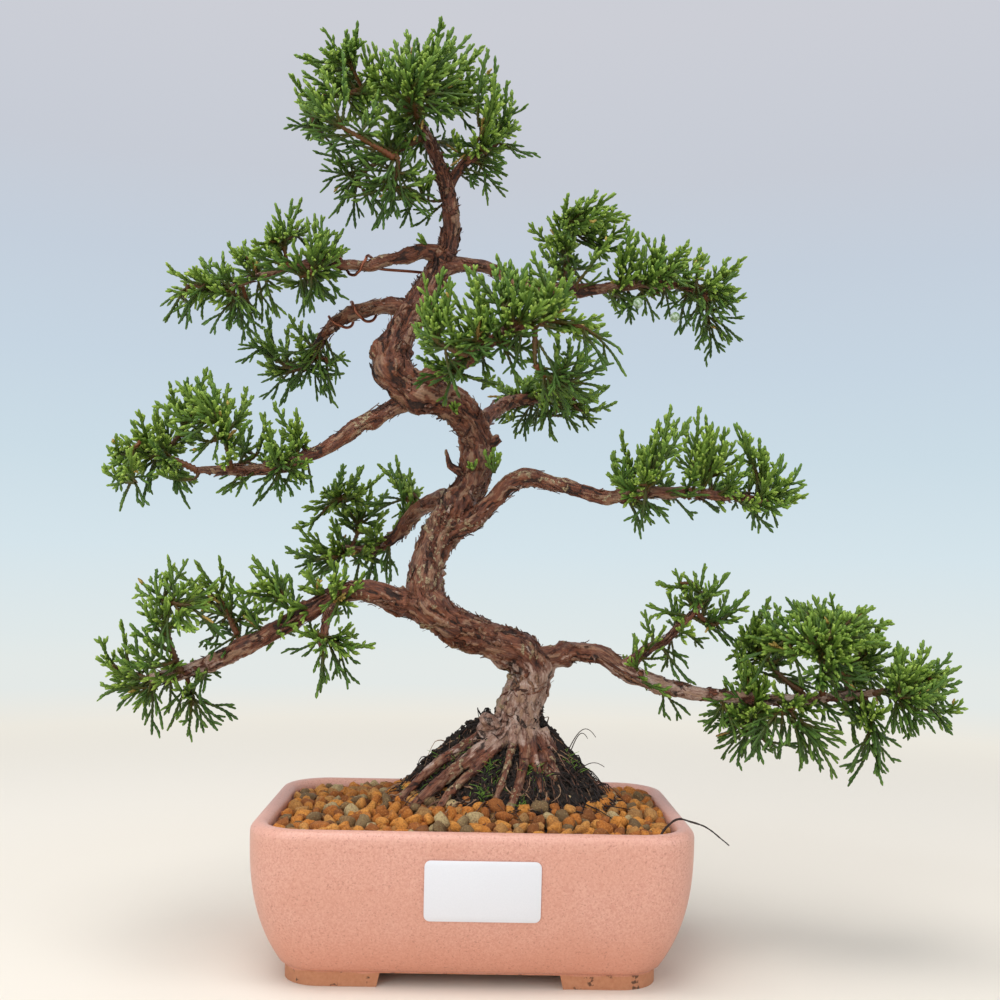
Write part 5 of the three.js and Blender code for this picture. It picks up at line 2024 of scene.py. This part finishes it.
class BONSAI_OT_branches(bpy.types.Operator):
    """Model every side branch"""

    bl_idname = "bonsai.branches"
    bl_label = "Branches"

    def execute(self, _context):
        for name, route in BRANCHES.items():
            model_branch(name, route)
        return {"FINISHED"}


class BONSAI_OT_bark_strips(bpy.types.Operator):
    """Peel loose strips and flakes of bark from the trunk and the branches"""

    bl_idname = "bonsai.bark_strips"
    bl_label = "Bark Strips"

    def execute(self, _context):
        model_bark_strips()
        return {"FINISHED"}


class BONSAI_OT_foliage(bpy.types.Operator):
    """Grow the foliage pads, and the sprouts on the trunk"""

    bl_idname = "bonsai.foliage"
    bl_label = "Foliage"

    def execute(self, _context):
        for name in PADS:
            model_pad(name)
        model_sprouts()
        return {"FINISHED"}


class BONSAI_OT_berries(bpy.types.Operator):
    """Hang the two seed cones"""

    bl_idname = "bonsai.berries"
    bl_label = "Berries"

    def execute(self, _context):
        model_berries()
        return {"FINISHED"}


class BONSAI_OT_wire(bpy.types.Operator):
    """Wind the training wire round two upper branches"""

    bl_idname = "bonsai.wire"
    bl_label = "Training Wire"

    def execute(self, _context):
        model_wire()
        return {"FINISHED"}


class BONSAI_OT_stray_root(bpy.types.Operator):
    """Grow the loose root over the rim"""

    bl_idname = "bonsai.stray_root"
    bl_label = "Stray Root"

    def execute(self, _context):
        model_stray_root()
        return {"FINISHED"}


class BONSAI_OT_hidden_parts(bpy.types.Operator):
    """Finish the drain screens, their clips and the drainage grit"""

    bl_idname = "bonsai.hidden_parts"
    bl_label = "Drainage"

    def execute(self, _context):
        finish_hidden_nodes()
        return {"FINISHED"}


OPERATORS = (
    BONSAI_OT_stage, BONSAI_OT_pot, BONSAI_OT_label, BONSAI_OT_soil, BONSAI_OT_root_ball, BONSAI_OT_trunk,
    BONSAI_OT_branches, BONSAI_OT_bark_strips, BONSAI_OT_foliage, BONSAI_OT_berries, BONSAI_OT_wire,
    BONSAI_OT_stray_root, BONSAI_OT_hidden_parts,
)


class BONSAI_PT_sidebar(bpy.types.Panel):
    """The bonsai's settings and pieces, in the 3D view's sidebar"""

    bl_idname = "BONSAI_PT_sidebar"
    bl_label = "Juniper Bonsai"
    bl_space_type = "VIEW_3D"
    bl_region_type = "UI"
    bl_category = "Bonsai"

    def draw(self, context):
        for name, group in SETTINGS.items():
            box = self.layout.box()
            box.label(text=group.__doc__)
            for key in group.__annotations__:
                box.prop(getattr(context.scene, name), key)
        for operator in OPERATORS:
            self.layout.operator(operator.bl_idname)


def register():
    """Adds the settings, the operators and the sidebar."""
    for made in (*SETTINGS.values(), *OPERATORS, BONSAI_PT_sidebar):
        bpy.utils.register_class(made)
    for name, group in SETTINGS.items():
        setattr(bpy.types.Scene, name, bpy.props.PointerProperty(type=group))


def unregister():
    """Takes away what register adds."""
    for name in SETTINGS:
        delattr(bpy.types.Scene, name)
    for made in reversed((*SETTINGS.values(), *OPERATORS, BONSAI_PT_sidebar)):
        bpy.utils.unregister_class(made)


def main():
    """Models the whole bonsai through its operators."""
    register()
    deselect_all()
    bpy.ops.bonsai.stage()
    bpy.ops.bonsai.pot()
    bpy.ops.bonsai.label()
    bpy.ops.bonsai.soil()
    bpy.ops.bonsai.root_ball()
    bpy.ops.bonsai.trunk()
    bpy.ops.bonsai.branches()
    bpy.ops.bonsai.bark_strips()
    bpy.ops.bonsai.foliage()
    bpy.ops.bonsai.berries()
    bpy.ops.bonsai.wire()
    bpy.ops.bonsai.stray_root()
    bpy.ops.bonsai.hidden_parts()


if __name__ == "__main__":
    main()
